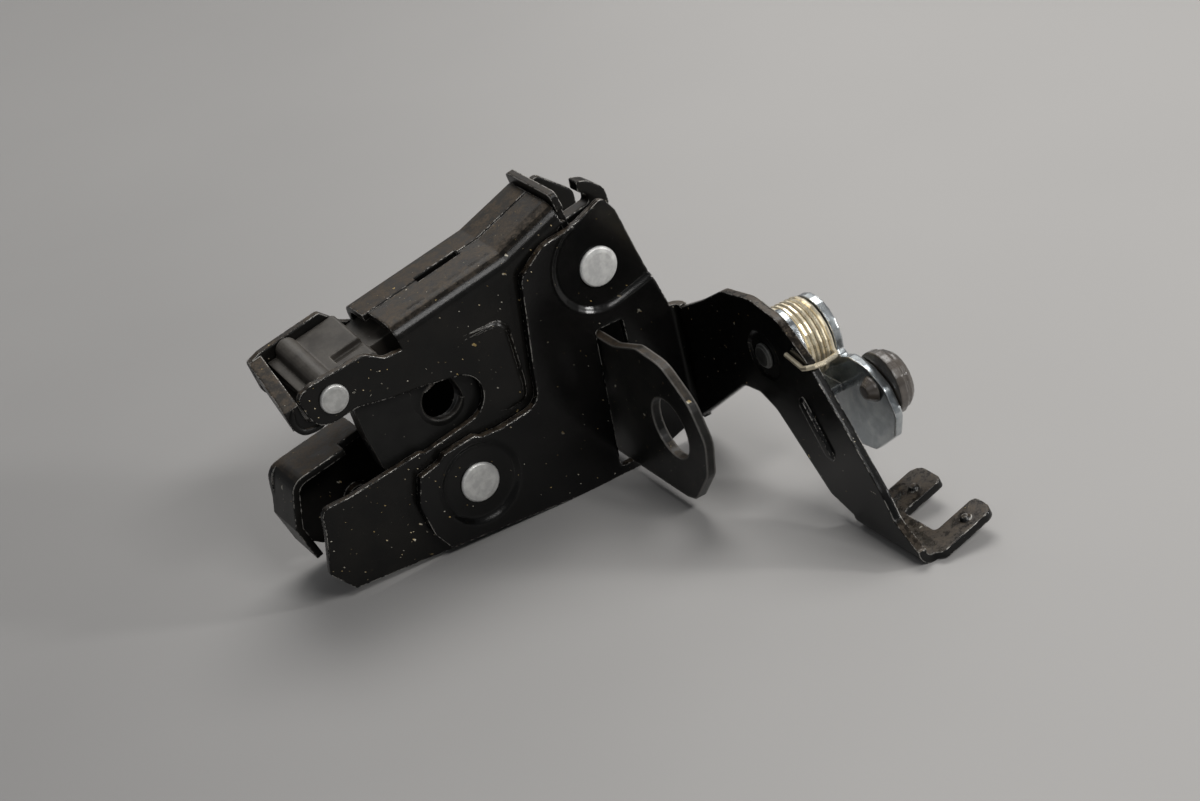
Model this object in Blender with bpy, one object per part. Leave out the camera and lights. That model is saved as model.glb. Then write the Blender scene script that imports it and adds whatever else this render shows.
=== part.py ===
"""Rear door latch: a sheet housing with a claw and pawl, a bracket with a cable lever, in metres with +Z up."""
import math

import bmesh
import bpy
from mathutils import Matrix, Vector

MM = 0.001
DEG = math.pi / 180.0

# Driving sizes. X runs along the bracket's foot, Y from the front face backwards, Z up.
# Places in the housing are given in its own directions: u along the mouth, w across it.
GAP = 0.3 * MM
SEAT = 0.1 * MM
SEAM_GAP = 0.7 * MM
BRACKET_SHEET = 2.0 * MM
COVER_SHEET = 1.6 * MM
BACK_SHEET = 1.8 * MM
HOUSING_DEPTH = 24.7 * MM
HOUSING_TILT = 10.5 * DEG
BEND = 1.5 * MM
SHOULDER = 4.6 * MM
FOOT = -15.5 * MM
ARC_STEP = 16.0 * DEG

CLAW_PIVOT = (0.0, 0.0)
PAWL_PIVOT = (43.1 * MM, 38.7 * MM)
JAW_RIVET_UW = (-21.0 * MM, 40.3 * MM)

RIVET_HEAD = 5.0 * MM
RIVET_HEAD_HEIGHT = 1.0 * MM
RIVET_SHANK = 3.6 * MM
JAW_HEAD = 3.55 * MM
JAW_SHANK = 2.4 * MM
BUSH_WALL = 1.6 * MM
JAW_BUSH_WALL = 0.8 * MM
DISH_DEPTH = 1.1 * MM
CLAW_DISH = 11.2 * MM
PAWL_DISH = 13.0 * MM
DISH_SLOPE = 2.4 * MM
DISH_STEPS = 5
BRACKET_CORNER = (54.9 * MM, 34.4 * MM)

MOUTH_LOW = 14.3 * MM
MOUTH_LIP = 17.5 * MM
MOUTH_ROUND = 6.3 * MM
MOUTH_HIGH = 29.8 * MM
MOUTH_END = 11.4 * MM
HOUSING_TOP = 46.6 * MM
HOUSING_TOP_RIGHT = 49.6 * MM
RAMP_START = 30.0 * MM
COVER_LEFT = -1.5 * MM
BACK_LEFT = -3.0 * MM
COVER_RIGHT = 46.2 * MM
SEAM = 15.3 * MM
SEAM_SLOT = (12.2 * MM, 24.4 * MM)
SEAM_SLOT_WIDTH = 2.8 * MM
JAW_END = -36.3 * MM
RAISED_HEIGHT = 1.1 * MM
RAISED_FADE = (12.2 * MM, 23.0 * MM)
LIP_TOP = 21.4 * MM
LIP_FRONT = 13.5 * MM
STRAP_PLACE = -29.2 * MM
BLOCK_TOP = 43.4 * MM
BLOCK_LOW = 40.9 * MM
BLOCK_RISE = 3.4 * MM
BLOCK_RECESS = 1.4 * MM
BLADE_SHEET = 1.8 * MM
BLADE_RISE = 2.4 * MM
HOOK_PLACE = (57.2 * MM, 41.6 * MM)
BLOCK_RIGHT = 6.0 * MM

CLAW_THICK = 3.2 * MM
CLAW_FRONT = 6.3 * MM
JACKET_THICK = 1.2 * MM
NOTCH_RADIUS = 5.0 * MM
NOTCH_REACH = 21.0 * MM
NOTCH_OFFSET = 2.0 * MM
NOTCH_LEAN = 8.0 * DEG
TOOTH_RADIUS = 20.0 * MM
TOOTH_ROOT = 15.6 * MM
TOOTH_GAP = 2.7 * MM
TOOTH_HOLD = 0.5 * MM
PAWL_WIDTH = 7.0 * MM
PAWL_HUB = 9.0 * MM
HUB_CLEARANCE = 0.25 * MM

TAB_FACE = 38.6 * MM
TAB_SHEET = 2.4 * MM
TAB_REACH = 42.2 * MM
EYE_RADIUS = 7.8 * MM
EYE_CENTRE = (-26.4 * MM, 6.5 * MM)
SLOT_LEFT = 36.0 * MM
SLOT_RIGHT = 45.6 * MM
SLOT_LOW = -13.3 * MM
SLOT_HIGH = 23.8 * MM
TAB_LOW = -12.0 * MM
TAB_HIGH = 21.4 * MM

FLANGE_FACE = 60.0 * MM
LEVER_PIVOT = (-38.8 * MM, 20.4 * MM)
LEVER_PIN = 4.2 * MM
PIN_SHANK = 2.4 * MM
PIN_HEAD = 3.1 * MM
DISC_RADIUS = 6.2 * MM
DISC_THICK = 1.4 * MM
LEVER_SHEET = 2.0 * MM
LEVER_GAUGE = 9.6 * MM
LEVER_HUB = 9.1 * MM
COIL_RADIUS = 8.9 * MM
COIL_WIRE = 0.62 * MM
COIL_TURNS = 5.5
CLIP_PLACE = (-60.0 * MM, 12.9 * MM)
CLIP_RADIUS = 7.9 * MM
CLIP_NECK = 2.5 * MM
CLIP_HEAD = 5.6 * MM
WEB_LOW = 7.4 * MM

FORK_NEAR = -63.3 * MM
FORK_WIDE_PRONG = 9.3 * MM
FORK_PRONG = 6.9 * MM
FORK_SLOT = 11.9 * MM
FORK_REACH = 16.5 * MM
FORK_ROOT = 4.5 * MM
FORK_RISE = 16.0 * DEG

SPRING_WIRE = 0.8 * MM
SPRING_TURNS = 3
CLAW_SPRING_ANGLE = 200

COVER_FRONT = BRACKET_SHEET + GAP
BACK_FACE = COVER_FRONT + HOUSING_DEPTH
BACK_INSIDE = BACK_FACE - BACK_SHEET
BUSH_RADIUS = RIVET_SHANK + BUSH_WALL
LEVER_START = FLANGE_FACE + BRACKET_SHEET + GAP
PIVOT_SPAN = math.hypot(PAWL_PIVOT[0] - CLAW_PIVOT[0], PAWL_PIVOT[1] - CLAW_PIVOT[1])
PIVOT_LINE = math.atan2(PAWL_PIVOT[1] - CLAW_PIVOT[1], PAWL_PIVOT[0] - CLAW_PIVOT[0]) - HOUSING_TILT
TOOTH_ANGLE = math.degrees(PIVOT_LINE - math.acos(TOOTH_RADIUS / PIVOT_SPAN))
MOUNT_HOLES = [(-22.0 * MM, -3.0 * MM), (30.0 * MM, -6.0 * MM), (24.0 * MM, 44.0 * MM)]
MOUNT_BORE = 2.6 * MM
COLLAR_WALL = 1.3 * MM
COLLAR_HEIGHT = 2.2 * MM
FORK_FAR = FORK_NEAR - FORK_WIDE_PRONG - FORK_SLOT - FORK_PRONG


SHARP = 35 * DEG
FLAT_SHARP = 9 * DEG
FLAT_AREA = 150e-6
WIRE_SIDES = 2

# Colour, roughness and metallic of each finish.
COAT = ((0.02, 0.02, 0.022), 0.42, 0.0)
GLOSS = ((0.012, 0.012, 0.014), 0.28, 0.0)
ZINC = ((0.62, 0.64, 0.66), 0.3, 1.0)
STEEL = ((0.52, 0.52, 0.5), 0.42, 1.0)
WIRE = ((0.66, 0.62, 0.5), 0.3, 1.0)
MOULDING = ((0.018, 0.017, 0.016), 0.5, 0.0)
RUBBER = ((0.02, 0.02, 0.02), 0.8, 0.0)


def clear_scene():
    """Remove whatever objects the file holds."""
    for thing in list(bpy.data.objects):
        bpy.data.objects.remove(thing, do_unlink=True)


def dress(look, *pieces):
    """Give each piece a Principled material of its own, named as the piece."""
    colour, roughness, metallic = look
    for piece in pieces:
        material = bpy.data.materials.new(piece.name)
        material.use_nodes = True
        shader = material.node_tree.nodes["Principled BSDF"]
        shader.inputs["Base Color"].default_value = (*colour, 1.0)
        shader.inputs["Roughness"].default_value = roughness
        shader.inputs["Metallic"].default_value = metallic
        piece.data.materials.clear()
        piece.data.materials.append(material)
    return list(pieces)


def housing_point(u, w):
    """A place given along and across the mouth, as X and Z."""
    c, s = math.cos(HOUSING_TILT), math.sin(HOUSING_TILT)
    return (u * c - w * s, u * s + w * c)


def fillet(corners):
    """Points of a closed outline whose corners (x, y, radius) are rounded by arcs."""
    points = []
    count = len(corners)
    for i, (x, y, radius) in enumerate(corners):
        here = Vector((x, y))
        before = Vector(corners[i - 1][:2])
        after = Vector(corners[(i + 1) % count][:2])
        a, b = (before - here), (after - here)
        if radius <= 0.0 or a.length < 1e-9 or b.length < 1e-9:
            points.append((x, y))
            continue
        da, db = a.normalized(), b.normalized()
        angle = da.angle(db)
        if abs(math.pi - angle) < 0.02:
            points.append((x, y))
            continue
        reach = min(radius / math.tan(angle / 2), 0.48 * a.length, 0.48 * b.length)
        radius = reach * math.tan(angle / 2)
        centre = here + (da + db).normalized() * (radius / math.sin(angle / 2))
        start, end = here + da * reach, here + db * reach
        first = math.atan2(start.y - centre.y, start.x - centre.x)
        last = math.atan2(end.y - centre.y, end.x - centre.x)
        turn = (last - first + math.pi) % (2 * math.pi) - math.pi
        steps = max(1, math.ceil(abs(turn) / ARC_STEP))
        for k in range(steps + 1):
            t = first + turn * k / steps
            points.append((centre.x + radius * math.cos(t), centre.y + radius * math.sin(t)))
    return points


def inset(points, distance):
    """A closed outline moved inwards by a distance."""
    size = len(points)
    area = sum(points[i][0] * points[(i + 1) % size][1] - points[(i + 1) % size][0] * points[i][1]
               for i in range(size))
    turn = 1.0 if area > 0.0 else -1.0
    moved = []
    for i in range(size):
        here = Vector(points[i])
        first = (here - Vector(points[i - 1])).normalized()
        second = (Vector(points[(i + 1) % size]) - here).normalized()
        bisector = (first + second).normalized()
        normal = Vector((-bisector.y, bisector.x)) * turn
        spread = max(0.35, abs(normal.dot(Vector((-second.y, second.x)))))
        moved.append(tuple(here + normal * distance / spread))
    return moved


def circle(centre, radius, count=24):
    """Points of a circle."""
    return [(centre[0] + radius * math.cos(2 * math.pi * k / count),
             centre[1] + radius * math.sin(2 * math.pi * k / count)) for k in range(count)]


def crease(bm):
    """Shade faces smooth, with edges sharp at a large turn, or at a small one beside a large flat face."""
    for face in bm.faces:
        face.smooth = True
    for edge in bm.edges:
        widest = max((face.calc_area() for face in edge.link_faces), default=0.0)
        edge.smooth = edge.calc_face_angle(0.0) < (FLAT_SHARP if widest > FLAT_AREA else SHARP)


def new_object(name, bm):
    """Turn a bmesh into a named object with its faces pointing out."""
    bmesh.ops.remove_doubles(bm, verts=bm.verts, dist=1e-7)
    bmesh.ops.recalc_face_normals(bm, faces=bm.faces)
    crease(bm)
    mesh = bpy.data.meshes.new(name)
    bm.to_mesh(mesh)
    bm.free()
    thing = bpy.data.objects.new(name, mesh)
    bpy.context.collection.objects.link(thing)
    return thing


AXES = {"x": (1, 2, 0), "y": (0, 2, 1), "z": (0, 1, 2)}


def place(point, along, axis):
    """A 2D point and a distance along an axis, as a 3D point."""
    first, second, third = AXES[axis]
    result = [0.0, 0.0, 0.0]
    result[first], result[second], result[third] = point[0], point[1], along
    return Vector(result)


def loft(name, rings):
    """A solid through rings of equal point counts."""
    bm = bmesh.new()
    rows = [[bm.verts.new(p) for p in ring] for ring in rings]
    count = len(rows[0])
    for lower, upper in zip(rows, rows[1:]):
        for i in range(count):
            j = (i + 1) % count
            bm.faces.new((lower[i], lower[j], upper[j], upper[i]))
    bm.faces.new(rows[0])
    bm.faces.new(rows[-1])
    return new_object(name, bm)


def prism(name, outline, axis, start, end):
    """An outline pushed along an axis between two places."""
    return loft(name, [[place(p, start, axis) for p in outline],
                       [place(p, end, axis) for p in outline]])


def turned(name, profile, axis, centre, count=28, ring=False):
    """A profile of (radius, distance) turned about an axis through centre."""
    rings = []
    for k in range(count):
        a = 2 * math.pi * k / count
        rings.append([place((centre[0] + r * math.cos(a), centre[1] + r * math.sin(a)), h, axis)
                      for r, h in profile])
    bm = bmesh.new()
    rows = [[bm.verts.new(p) for p in row] for row in rings]
    size = len(profile)
    last = size if ring else size - 1
    for k in range(count):
        here, there = rows[k], rows[(k + 1) % count]
        for i in range(last):
            j = (i + 1) % size
            corners = [here[i], here[j], there[j], there[i]]
            if profile[i][0] == 0.0:
                corners = [here[i], here[j], there[j]]
            elif profile[j][0] == 0.0:
                corners = [here[i], here[j], there[i]]
            bm.faces.new(corners)
    return new_object(name, bm)


def strip(path, thickness):
    """The outline of a sheet's section: a path of points thickened to its left."""
    offset = []
    for i, point in enumerate(path):
        here = Vector(point)
        before = Vector(path[max(i - 1, 0)])
        after = Vector(path[min(i + 1, len(path) - 1)])
        first = (here - before).normalized() if i else (after - here).normalized()
        second = (after - here).normalized() if i < len(path) - 1 else first
        tangent = (first + second).normalized()
        normal = Vector((-tangent.y, tangent.x))
        stretch = 1.0 / max(0.3, normal.dot(Vector((-first.y, first.x))))
        offset.append(tuple(here + normal * thickness * stretch))
    return list(path) + offset[::-1]


def arc(centre, radius, first, last):
    """Points of an arc between two angles in degrees."""
    steps = max(2, math.ceil(abs(last - first) * DEG / ARC_STEP))
    return [(centre[0] + radius * math.cos((first + (last - first) * k / steps) * DEG),
             centre[1] + radius * math.sin((first + (last - first) * k / steps) * DEG))
            for k in range(steps + 1)]


def combine(target, other, operation):
    """Apply a Boolean with another object, which is then removed."""
    modifier = target.modifiers.new("combine", "BOOLEAN")
    modifier.operation = operation
    modifier.solver = "EXACT"
    modifier.object = other
    depsgraph = bpy.context.evaluated_depsgraph_get()
    mesh = bpy.data.meshes.new_from_object(target.evaluated_get(depsgraph))
    target.modifiers.remove(modifier)
    old = target.data
    target.data = mesh
    bpy.data.meshes.remove(old)
    bpy.data.objects.remove(other, do_unlink=True)
    return target


def add(target, *others):
    """Join other solids to a target."""
    for other in others:
        combine(target, other, "UNION")
    return target


def cut(target, *others):
    """Cut other solids from a target."""
    for other in others:
        combine(target, other, "DIFFERENCE")
    return target


def tidy(thing):
    """Merge slivers left by the Booleans and shade round faces smooth."""
    bm = bmesh.new()
    bm.from_mesh(thing.data)
    bmesh.ops.remove_doubles(bm, verts=bm.verts, dist=2e-6)
    bmesh.ops.dissolve_limit(bm, angle_limit=0.2 * DEG, verts=bm.verts, edges=bm.edges)
    bmesh.ops.recalc_face_normals(bm, faces=bm.faces)
    crease(bm)
    bm.to_mesh(thing.data)
    bm.free()
    return thing


def wire(name, points, radius):
    """A round wire through points, as a curve with filled ends."""
    curve = bpy.data.curves.new(name, "CURVE")
    curve.dimensions = "3D"
    curve.bevel_depth = radius
    curve.bevel_resolution = WIRE_SIDES
    curve.use_fill_caps = True
    spline = curve.splines.new("POLY")
    spline.points.add(len(points) - 1)
    for slot, point in zip(spline.points, points):
        slot.co = (*point, 1.0)
    thing = bpy.data.objects.new(name, curve)
    bpy.context.collection.objects.link(thing)
    return thing


def housing_outline(corners):
    """A rounded outline whose corners are given along and across the mouth."""
    return fillet([(*housing_point(u, w), r) for u, w, r in corners])


def sheet_corner(front, top, tail, end, sheet, shoulder, facing):
    """Section of a sheet that turns from a face into a top flange, as (y, w) points.

    front is the outer face's Y, top the flange's outer w, tail the face's lowest w,
    end the flange's far Y, and facing +1 where the flange runs towards +Y."""
    inner = max(shoulder - sheet, 0.2 * MM)
    centre = (front + facing * shoulder, top - shoulder)
    sweep = (180, 90) if facing > 0 else (0, 90)
    outer_arc = arc(centre, shoulder, *sweep)
    inner_arc = arc(centre, inner, *sweep)
    return ([(front, tail)] + outer_arc + [(end, top), (end, top - sheet)]
            + inner_arc[::-1] + [(front + facing * sheet, tail)])


def housing_section(u, section):
    """Put a (y, w) section at a station u of the housing."""
    points = []
    for y, w in section:
        x, z = housing_point(u, w)
        points.append(Vector((x, y, z)))
    return points


def top_at(u):
    """Height of the housing's top flanges: level, then a ramp up to the end."""
    if u <= RAMP_START:
        return HOUSING_TOP
    share = (u - RAMP_START) / (COVER_RIGHT - RAMP_START)
    return HOUSING_TOP + (HOUSING_TOP_RIGHT - HOUSING_TOP) * share


def hub_hole(point, radius, near, far):
    """A round cutter through the sheets between two places in Y."""
    return prism("hole", circle(point, radius), "y", near, far)


def dish_outline(grow):
    """Outline of the pressed seat round the pawl rivet, open to the bracket's upper right."""
    x, z = PAWL_PIVOT
    radius = PAWL_DISH + grow
    middle = z + 1.2 * MM
    round_side = [(x + radius * math.cos(a * DEG), middle + radius * math.sin(a * DEG))
                  for a in range(110, 285, 10)]
    return round_side + [(x + 13.4 * MM + grow, z - 9.0 * MM - grow), (x + 24 * MM, z + 2 * MM),
                         (x + 16 * MM, z + 24 * MM), (x - 6 * MM - grow, z + 22 * MM)]


def dish_wall():
    """Steps down a pressed seat's soft wall from just above the sheet: shares of its slope and depth."""
    return [(-0.1, -0.05)] + [(k / DISH_STEPS, (1 - math.cos(math.pi * k / DISH_STEPS)) / 2)
                              for k in range(1, DISH_STEPS + 1)]


def mouth_end():
    """The mouth's round end, from its lower edge to its upper one, as (u, w, 0)."""
    centre = (MOUTH_END - MOUTH_ROUND, MOUTH_LOW + MOUTH_ROUND)
    return [(u, w, 0) for u, w in arc(centre, MOUTH_ROUND, -90, 74)]


def seam_slot():
    """Cutter for the wider slot part way along the seam."""
    first, last = SEAM_SLOT
    slot = housing_outline([(first, 40 * MM, 0), (last, 40 * MM, 0), (last, 52 * MM, 0), (first, 52 * MM, 0)])
    return prism("seam_slot", slot, "y", SEAM - SEAM_SLOT_WIDTH / 2, SEAM + SEAM_SLOT_WIDTH / 2)


def slanted(name, outline_near, near, outline_far, far):
    """A solid between two outlines with as many points, at two places in Y."""
    return loft(name, [[place(p, near, "y") for p in outline_near],
                       [place(p, far, "y") for p in outline_far]])


def stepped(name, centre, sections, count=44):
    """A round solid about a Y axis through sections of (radius, place in Y)."""
    return loft(name, [[place(p, along, "y") for p in circle(centre, radius, count)]
                       for radius, along in sections])


def front_cover():
    """Front sheet of the housing: both jaws round the mouth, and a top flange up to the seam."""
    back = COVER_FRONT + COVER_SHEET
    upper = housing_outline([
        (MOUTH_END - MOUTH_ROUND, MOUTH_LOW - 4 * MM, 0), *mouth_end(), (-2 * MM, MOUTH_HIGH, 8 * MM),
        (-9.7 * MM, MOUTH_HIGH + 2.2 * MM, 6 * MM), (-17 * MM, MOUTH_HIGH + 5 * MM, 4 * MM),
        (-27.6 * MM, MOUTH_HIGH + 5.4 * MM, 5 * MM), (-28.6 * MM, 45.6 * MM, 4 * MM),
        (-24.5 * MM, 46.4 * MM, 3 * MM), (-10 * MM, 45.2 * MM, 3 * MM),
        (-6 * MM, 41.4 * MM, 2.5 * MM), (COVER_LEFT, 40.6 * MM, 0),
        (COVER_LEFT, HOUSING_TOP - SHOULDER, 0), (RAMP_START, HOUSING_TOP - SHOULDER, 0),
        (COVER_RIGHT, HOUSING_TOP_RIGHT - SHOULDER, 0), (COVER_RIGHT + 9 * MM, 40 * MM, 3 * MM),
        (COVER_RIGHT + 9 * MM, 24 * MM, 3 * MM), (37 * MM, 18 * MM, 3 * MM), (30 * MM, 10 * MM, 0)])
    cover = prism("front_cover", upper, "y", COVER_FRONT, back)
    edge = MOUTH_LOW + SEAT / 2
    lower = fillet([(*housing_point(u, w), r) for u, w, r in (
        (MOUTH_END - 2 * MM, edge, 0), (-8.0 * MM, edge, 0.4 * MM), (-9.4 * MM, edge + 0.8 * MM, 0.4 * MM),
        (-29 * MM, MOUTH_LIP - 1.2 * MM, 9 * MM), (JAW_END, MOUTH_LIP, 2.4 * MM))]
        + [(-39.2 * MM, 5 * MM, 6 * MM), (-41.3 * MM, -5.8 * MM, 1 * MM),
           (-36.2 * MM, FOOT + 3.4 * MM, 0.6 * MM), (-12 * MM, FOOT + 1.6 * MM, 8 * MM),
           (30 * MM, FOOT + 1.6 * MM, 4 * MM), (30 * MM, 20 * MM, 0)])
    add(cover, prism("lower", lower, "y", COVER_FRONT, back))
    rings = [housing_section(u, sheet_corner(COVER_FRONT, top_at(u), top_at(u) - SHOULDER - 4 * MM,
                                             SEAM - SEAM_GAP / 2, COVER_SHEET, SHOULDER, 1))
             for u in (COVER_LEFT, RAMP_START, COVER_RIGHT)]
    add(cover, loft("flange", rings), raised_pad())
    cut(cover, hub_hole(CLAW_PIVOT, CLAW_DISH, 0, back + 1 * MM),
        prism("pocket", dish_outline(GAP), "y", 0, back + 1 * MM),
        hub_hole(housing_point(*JAW_RIVET_UW), JAW_SHANK + SEAT, 0, back + 1 * MM), seam_slot())
    return tidy(cover)


def raised_pad():
    """Pad pressed forward beside the mouth's end: soft walls, and a top that fades out to the left."""
    corners = [(9.6 * MM, 35.0 * MM, 1 * MM), (21.9 * MM, 33.0 * MM, 3 * MM), (23.6 * MM, 30.0 * MM, 3 * MM),
               (21.4 * MM, 15 * MM, 3 * MM), (20.0 * MM, 10.6 * MM, 2.6 * MM), (14.6 * MM, 10.8 * MM, 2 * MM),
               (9.4 * MM, 12.8 * MM, 0.5 * MM), (13.0 * MM, 17.4 * MM, 2 * MM), (13.2 * MM, 22.0 * MM, 2 * MM),
               (11.4 * MM, 26.6 * MM, 2 * MM), (9.4 * MM, 29.0 * MM, 1 * MM)]
    fade, far = RAISED_FADE
    flat = [corner[:2] for corner in corners]

    def ring(inwards, rise, share):
        moved = inset(flat, inwards)
        outline = fillet([(*p, max(corner[2] - inwards, 0.2 * MM)) for p, corner in zip(moved, corners)])
        points = []
        for u, w in outline:
            height = rise + share * RAISED_HEIGHT * (u - fade) / (far - fade)
            points.append(place(housing_point(u, w), COVER_FRONT - height, "y"))
        return points

    return loft("raised", [ring(-0.1 * MM, -0.6 * MM, 0), ring(-0.1 * MM, -0.1 * MM, 0), ring(0.5 * MM, 0, 0.45),
                           ring(1.1 * MM, 0, 0.85), ring(1.8 * MM, 0, 1)])


def bracket_plate():
    """Bracket: a plate with two pressed rivet seats, a flange, an arm and a fork, in one sheet."""
    bend_line = FLANGE_FACE - BEND
    outline = fillet([
        (50.9 * MM, 50.4 * MM, 3 * MM), (48.2 * MM, 54.6 * MM, 1.5 * MM), (40.6 * MM, 51.3 * MM, 5 * MM),
        (30.4 * MM, 50.0 * MM, 6 * MM), (23.0 * MM, 44.6 * MM, 3 * MM), (20.1 * MM, 21.0 * MM, 8 * MM),
        (19.4 * MM, 12.4 * MM, 4.4 * MM), (8.4 * MM, 11.0 * MM, 2 * MM), (3.2 * MM, 11.2 * MM, 0.8 * MM),
        (1.4 * MM, 12.3 * MM, 0.8 * MM), (-7.0 * MM, 11.3 * MM, 0.6 * MM), (-8.8 * MM, 9.8 * MM, 0.6 * MM),
        (-14.3 * MM, 8.4 * MM, 0.6 * MM), (-16.3 * MM, 1.5 * MM, 5 * MM), (-14.6 * MM, -7.4 * MM, 4 * MM),
        (-11.4 * MM, FOOT + 2.9 * MM, 1 * MM), (20 * MM, FOOT + 0.3 * MM, 8 * MM), (28 * MM, FOOT, 0),
        (43 * MM, FOOT, 3 * MM), (bend_line, -10.2 * MM, 0), (bend_line, 22.0 * MM, 0),
        (*BRACKET_CORNER, 0)])
    plate = prism("bracket_plate", outline, "y", 0, BRACKET_SHEET)
    depth, slope = DISH_DEPTH, DISH_SLOPE
    behind = BRACKET_SHEET + depth
    claw_seat = stepped("seat", CLAW_PIVOT, [
        (CLAW_DISH + 0.1 * slope, BRACKET_SHEET - depth), (CLAW_DISH + 0.1 * slope, BRACKET_SHEET - 0.1 * depth),
        (CLAW_DISH - slope, behind)])
    pawl_seat = slanted("seat", dish_outline(0), BRACKET_SHEET - depth, dish_outline(-slope), behind)
    for seat in (claw_seat, pawl_seat):
        keep = prism("keep", inset(outline, 0.25 * MM), "y", 0.5 * depth, behind + depth)
        add(plate, combine(seat, keep, "INTERSECT"))
    cut(plate, stepped("dish", CLAW_PIVOT, [(CLAW_DISH + 0.7 * MM, -1 * MM)]
                       + [(CLAW_DISH - run * slope, fall * depth) for run, fall in dish_wall()]))
    rings = [[place(p, -1 * MM, "y") for p in dish_outline(0.7 * MM)]]
    rings += [[place(p, fall * depth, "y") for p in dish_outline(-run * slope)] for run, fall in dish_wall()]
    cut(plate, loft("dish", rings))
    slot = fillet([(SLOT_LEFT, SLOT_LOW, 1 * MM), (SLOT_RIGHT, SLOT_LOW, 1 * MM),
                   (SLOT_RIGHT, SLOT_HIGH, 1 * MM), (SLOT_LEFT + 2.0 * MM, SLOT_HIGH, 1 * MM)])
    cut(plate, prism("slot", slot, "y", -1 * MM, behind + 1 * MM))
    for centre in (CLAW_PIVOT, PAWL_PIVOT):
        cut(plate, hub_hole(centre, RIVET_SHANK + SEAT, -1 * MM, behind + 1 * MM))
    outer = FLANGE_FACE + BRACKET_SHEET
    turn = strip([(bend_line - 0.6 * MM, 0), *arc((bend_line, -BEND), BEND, 90, 0),
                  (FLANGE_FACE, -BEND - 0.6 * MM)], BRACKET_SHEET)
    add(plate, prism("bend", turn, "z", -10.0 * MM, 21.4 * MM))
    fy, fz = LEVER_PIVOT
    corner = (outer + BEND, FOOT + BEND + BRACKET_SHEET)
    bend_far, bend_near = FORK_NEAR - 1.6 * MM, FORK_FAR + 1.8 * MM
    flange = prism("flange", fillet([
        (-BEND, 20.6 * MM, 0), (-13.5 * MM, 26.4 * MM, 8 * MM), (-24.4 * MM, 32.6 * MM, 6 * MM),
        (fy + 2 * MM, fz + 14.2 * MM, 8 * MM), (fy - 9 * MM, fz + 12.4 * MM, 8 * MM),
        (fy - 18.8 * MM, fz + 5 * MM, 8 * MM), (-69.5 * MM, 11.0 * MM, 8 * MM),
        (-78.6 * MM, -0.8 * MM, 6 * MM), (-81.8 * MM, -6.6 * MM, 3 * MM), (bend_near, corner[1], 0),
        (bend_far, corner[1], 0),
        (-56.6 * MM, -9.6 * MM, 1.5 * MM), (-39.6 * MM, 6.4 * MM, 5 * MM), (-33.4 * MM, 8.9 * MM, 3 * MM),
        (-26.4 * MM, 8.2 * MM, 5 * MM), (-BEND, -9.8 * MM, 0)]), "x", FLANGE_FACE, outer)
    add(plate, flange)
    rise = math.degrees(FORK_RISE)
    along = Vector((math.cos(FORK_RISE), math.sin(FORK_RISE)))
    down = Vector((along.y, -along.x))
    path = [(FLANGE_FACE, corner[1] + 0.5 * MM), *arc(corner, BEND + BRACKET_SHEET, 180, 270 + rise)]
    path.append(tuple(Vector(path[-1]) + along * 0.5 * MM))
    add(plate, prism("foot_bend", strip(path, BRACKET_SHEET), "y", bend_near, bend_far))

    def fork_point(reach, y, height):
        spot = Vector(corner) + along * reach + down * (BEND + BRACKET_SHEET - height)
        return Vector((spot.x, y, spot.y))

    wide_inner, narrow_inner = FORK_NEAR - FORK_WIDE_PRONG, FORK_FAR + FORK_PRONG
    fork = fillet([
        (0, bend_far, 0), (1.2 * MM, FORK_NEAR, 1.2 * MM), (FORK_REACH, FORK_NEAR, 3 * MM),
        (FORK_REACH, wide_inner, 1.5 * MM), (FORK_ROOT, wide_inner, 1.2 * MM),
        (FORK_ROOT, narrow_inner, 1.2 * MM), (FORK_REACH, narrow_inner, 1.5 * MM),
        (FORK_REACH, FORK_FAR, 2.5 * MM), (1.2 * MM, FORK_FAR, 2 * MM), (0, bend_near, 0)])
    add(plate, loft("fork", [[fork_point(reach, y, 0) for reach, y in fork],
                             [fork_point(reach, y, BRACKET_SHEET) for reach, y in fork]]))
    for reach, y in ((FORK_REACH - 5.6 * MM, (FORK_NEAR + wide_inner) / 2 - 0.8 * MM),
                     (FORK_REACH - 5.6 * MM, (FORK_FAR + narrow_inner) / 2)):
        add(plate, loft("pip", [[fork_point(reach + r * math.cos(a * DEG), y + r * math.sin(a * DEG),
                                            BRACKET_SHEET + h)
                                 for a in range(0, 360, 30)]
                                for r, h in ((1.4 * MM, -0.5 * MM), (1.4 * MM, 0.2 * MM),
                                             (0.7 * MM, 0.9 * MM))]))
    bead = fillet([(-52.9 * MM, 14.9 * MM, 1 * MM), (-50.7 * MM, 13.3 * MM, 1 * MM),
                   (-59.8 * MM, 0.3 * MM, 1 * MM), (-62.0 * MM, 1.7 * MM, 1 * MM)])
    add(plate, loft("bead", [[place(p, FLANGE_FACE + 0.5 * MM, "x") for p in bead],
                             [place(p, FLANGE_FACE - 0.1 * MM, "x") for p in bead],
                             [place(tuple(Vector(p).lerp(Vector((-56.4 * MM, 7.5 * MM)), 0.14)),
                                    FLANGE_FACE - 0.8 * MM, "x") for p in bead]]))
    cut(plate, turned("pin_dish", [(0, FLANGE_FACE - 1 * MM), (6.4 * MM, FLANGE_FACE - 1 * MM),
                                   (6.4 * MM, FLANGE_FACE), (5.6 * MM, FLANGE_FACE + 0.5 * MM),
                                   (0, FLANGE_FACE + 0.5 * MM)], "x", LEVER_PIVOT))
    cut(plate, prism("hole", circle(LEVER_PIVOT, PIN_SHANK + SEAT, 16), "x", FLANGE_FACE - 1 * MM,
                     outer + 1 * MM))
    return tidy(plate)


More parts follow.
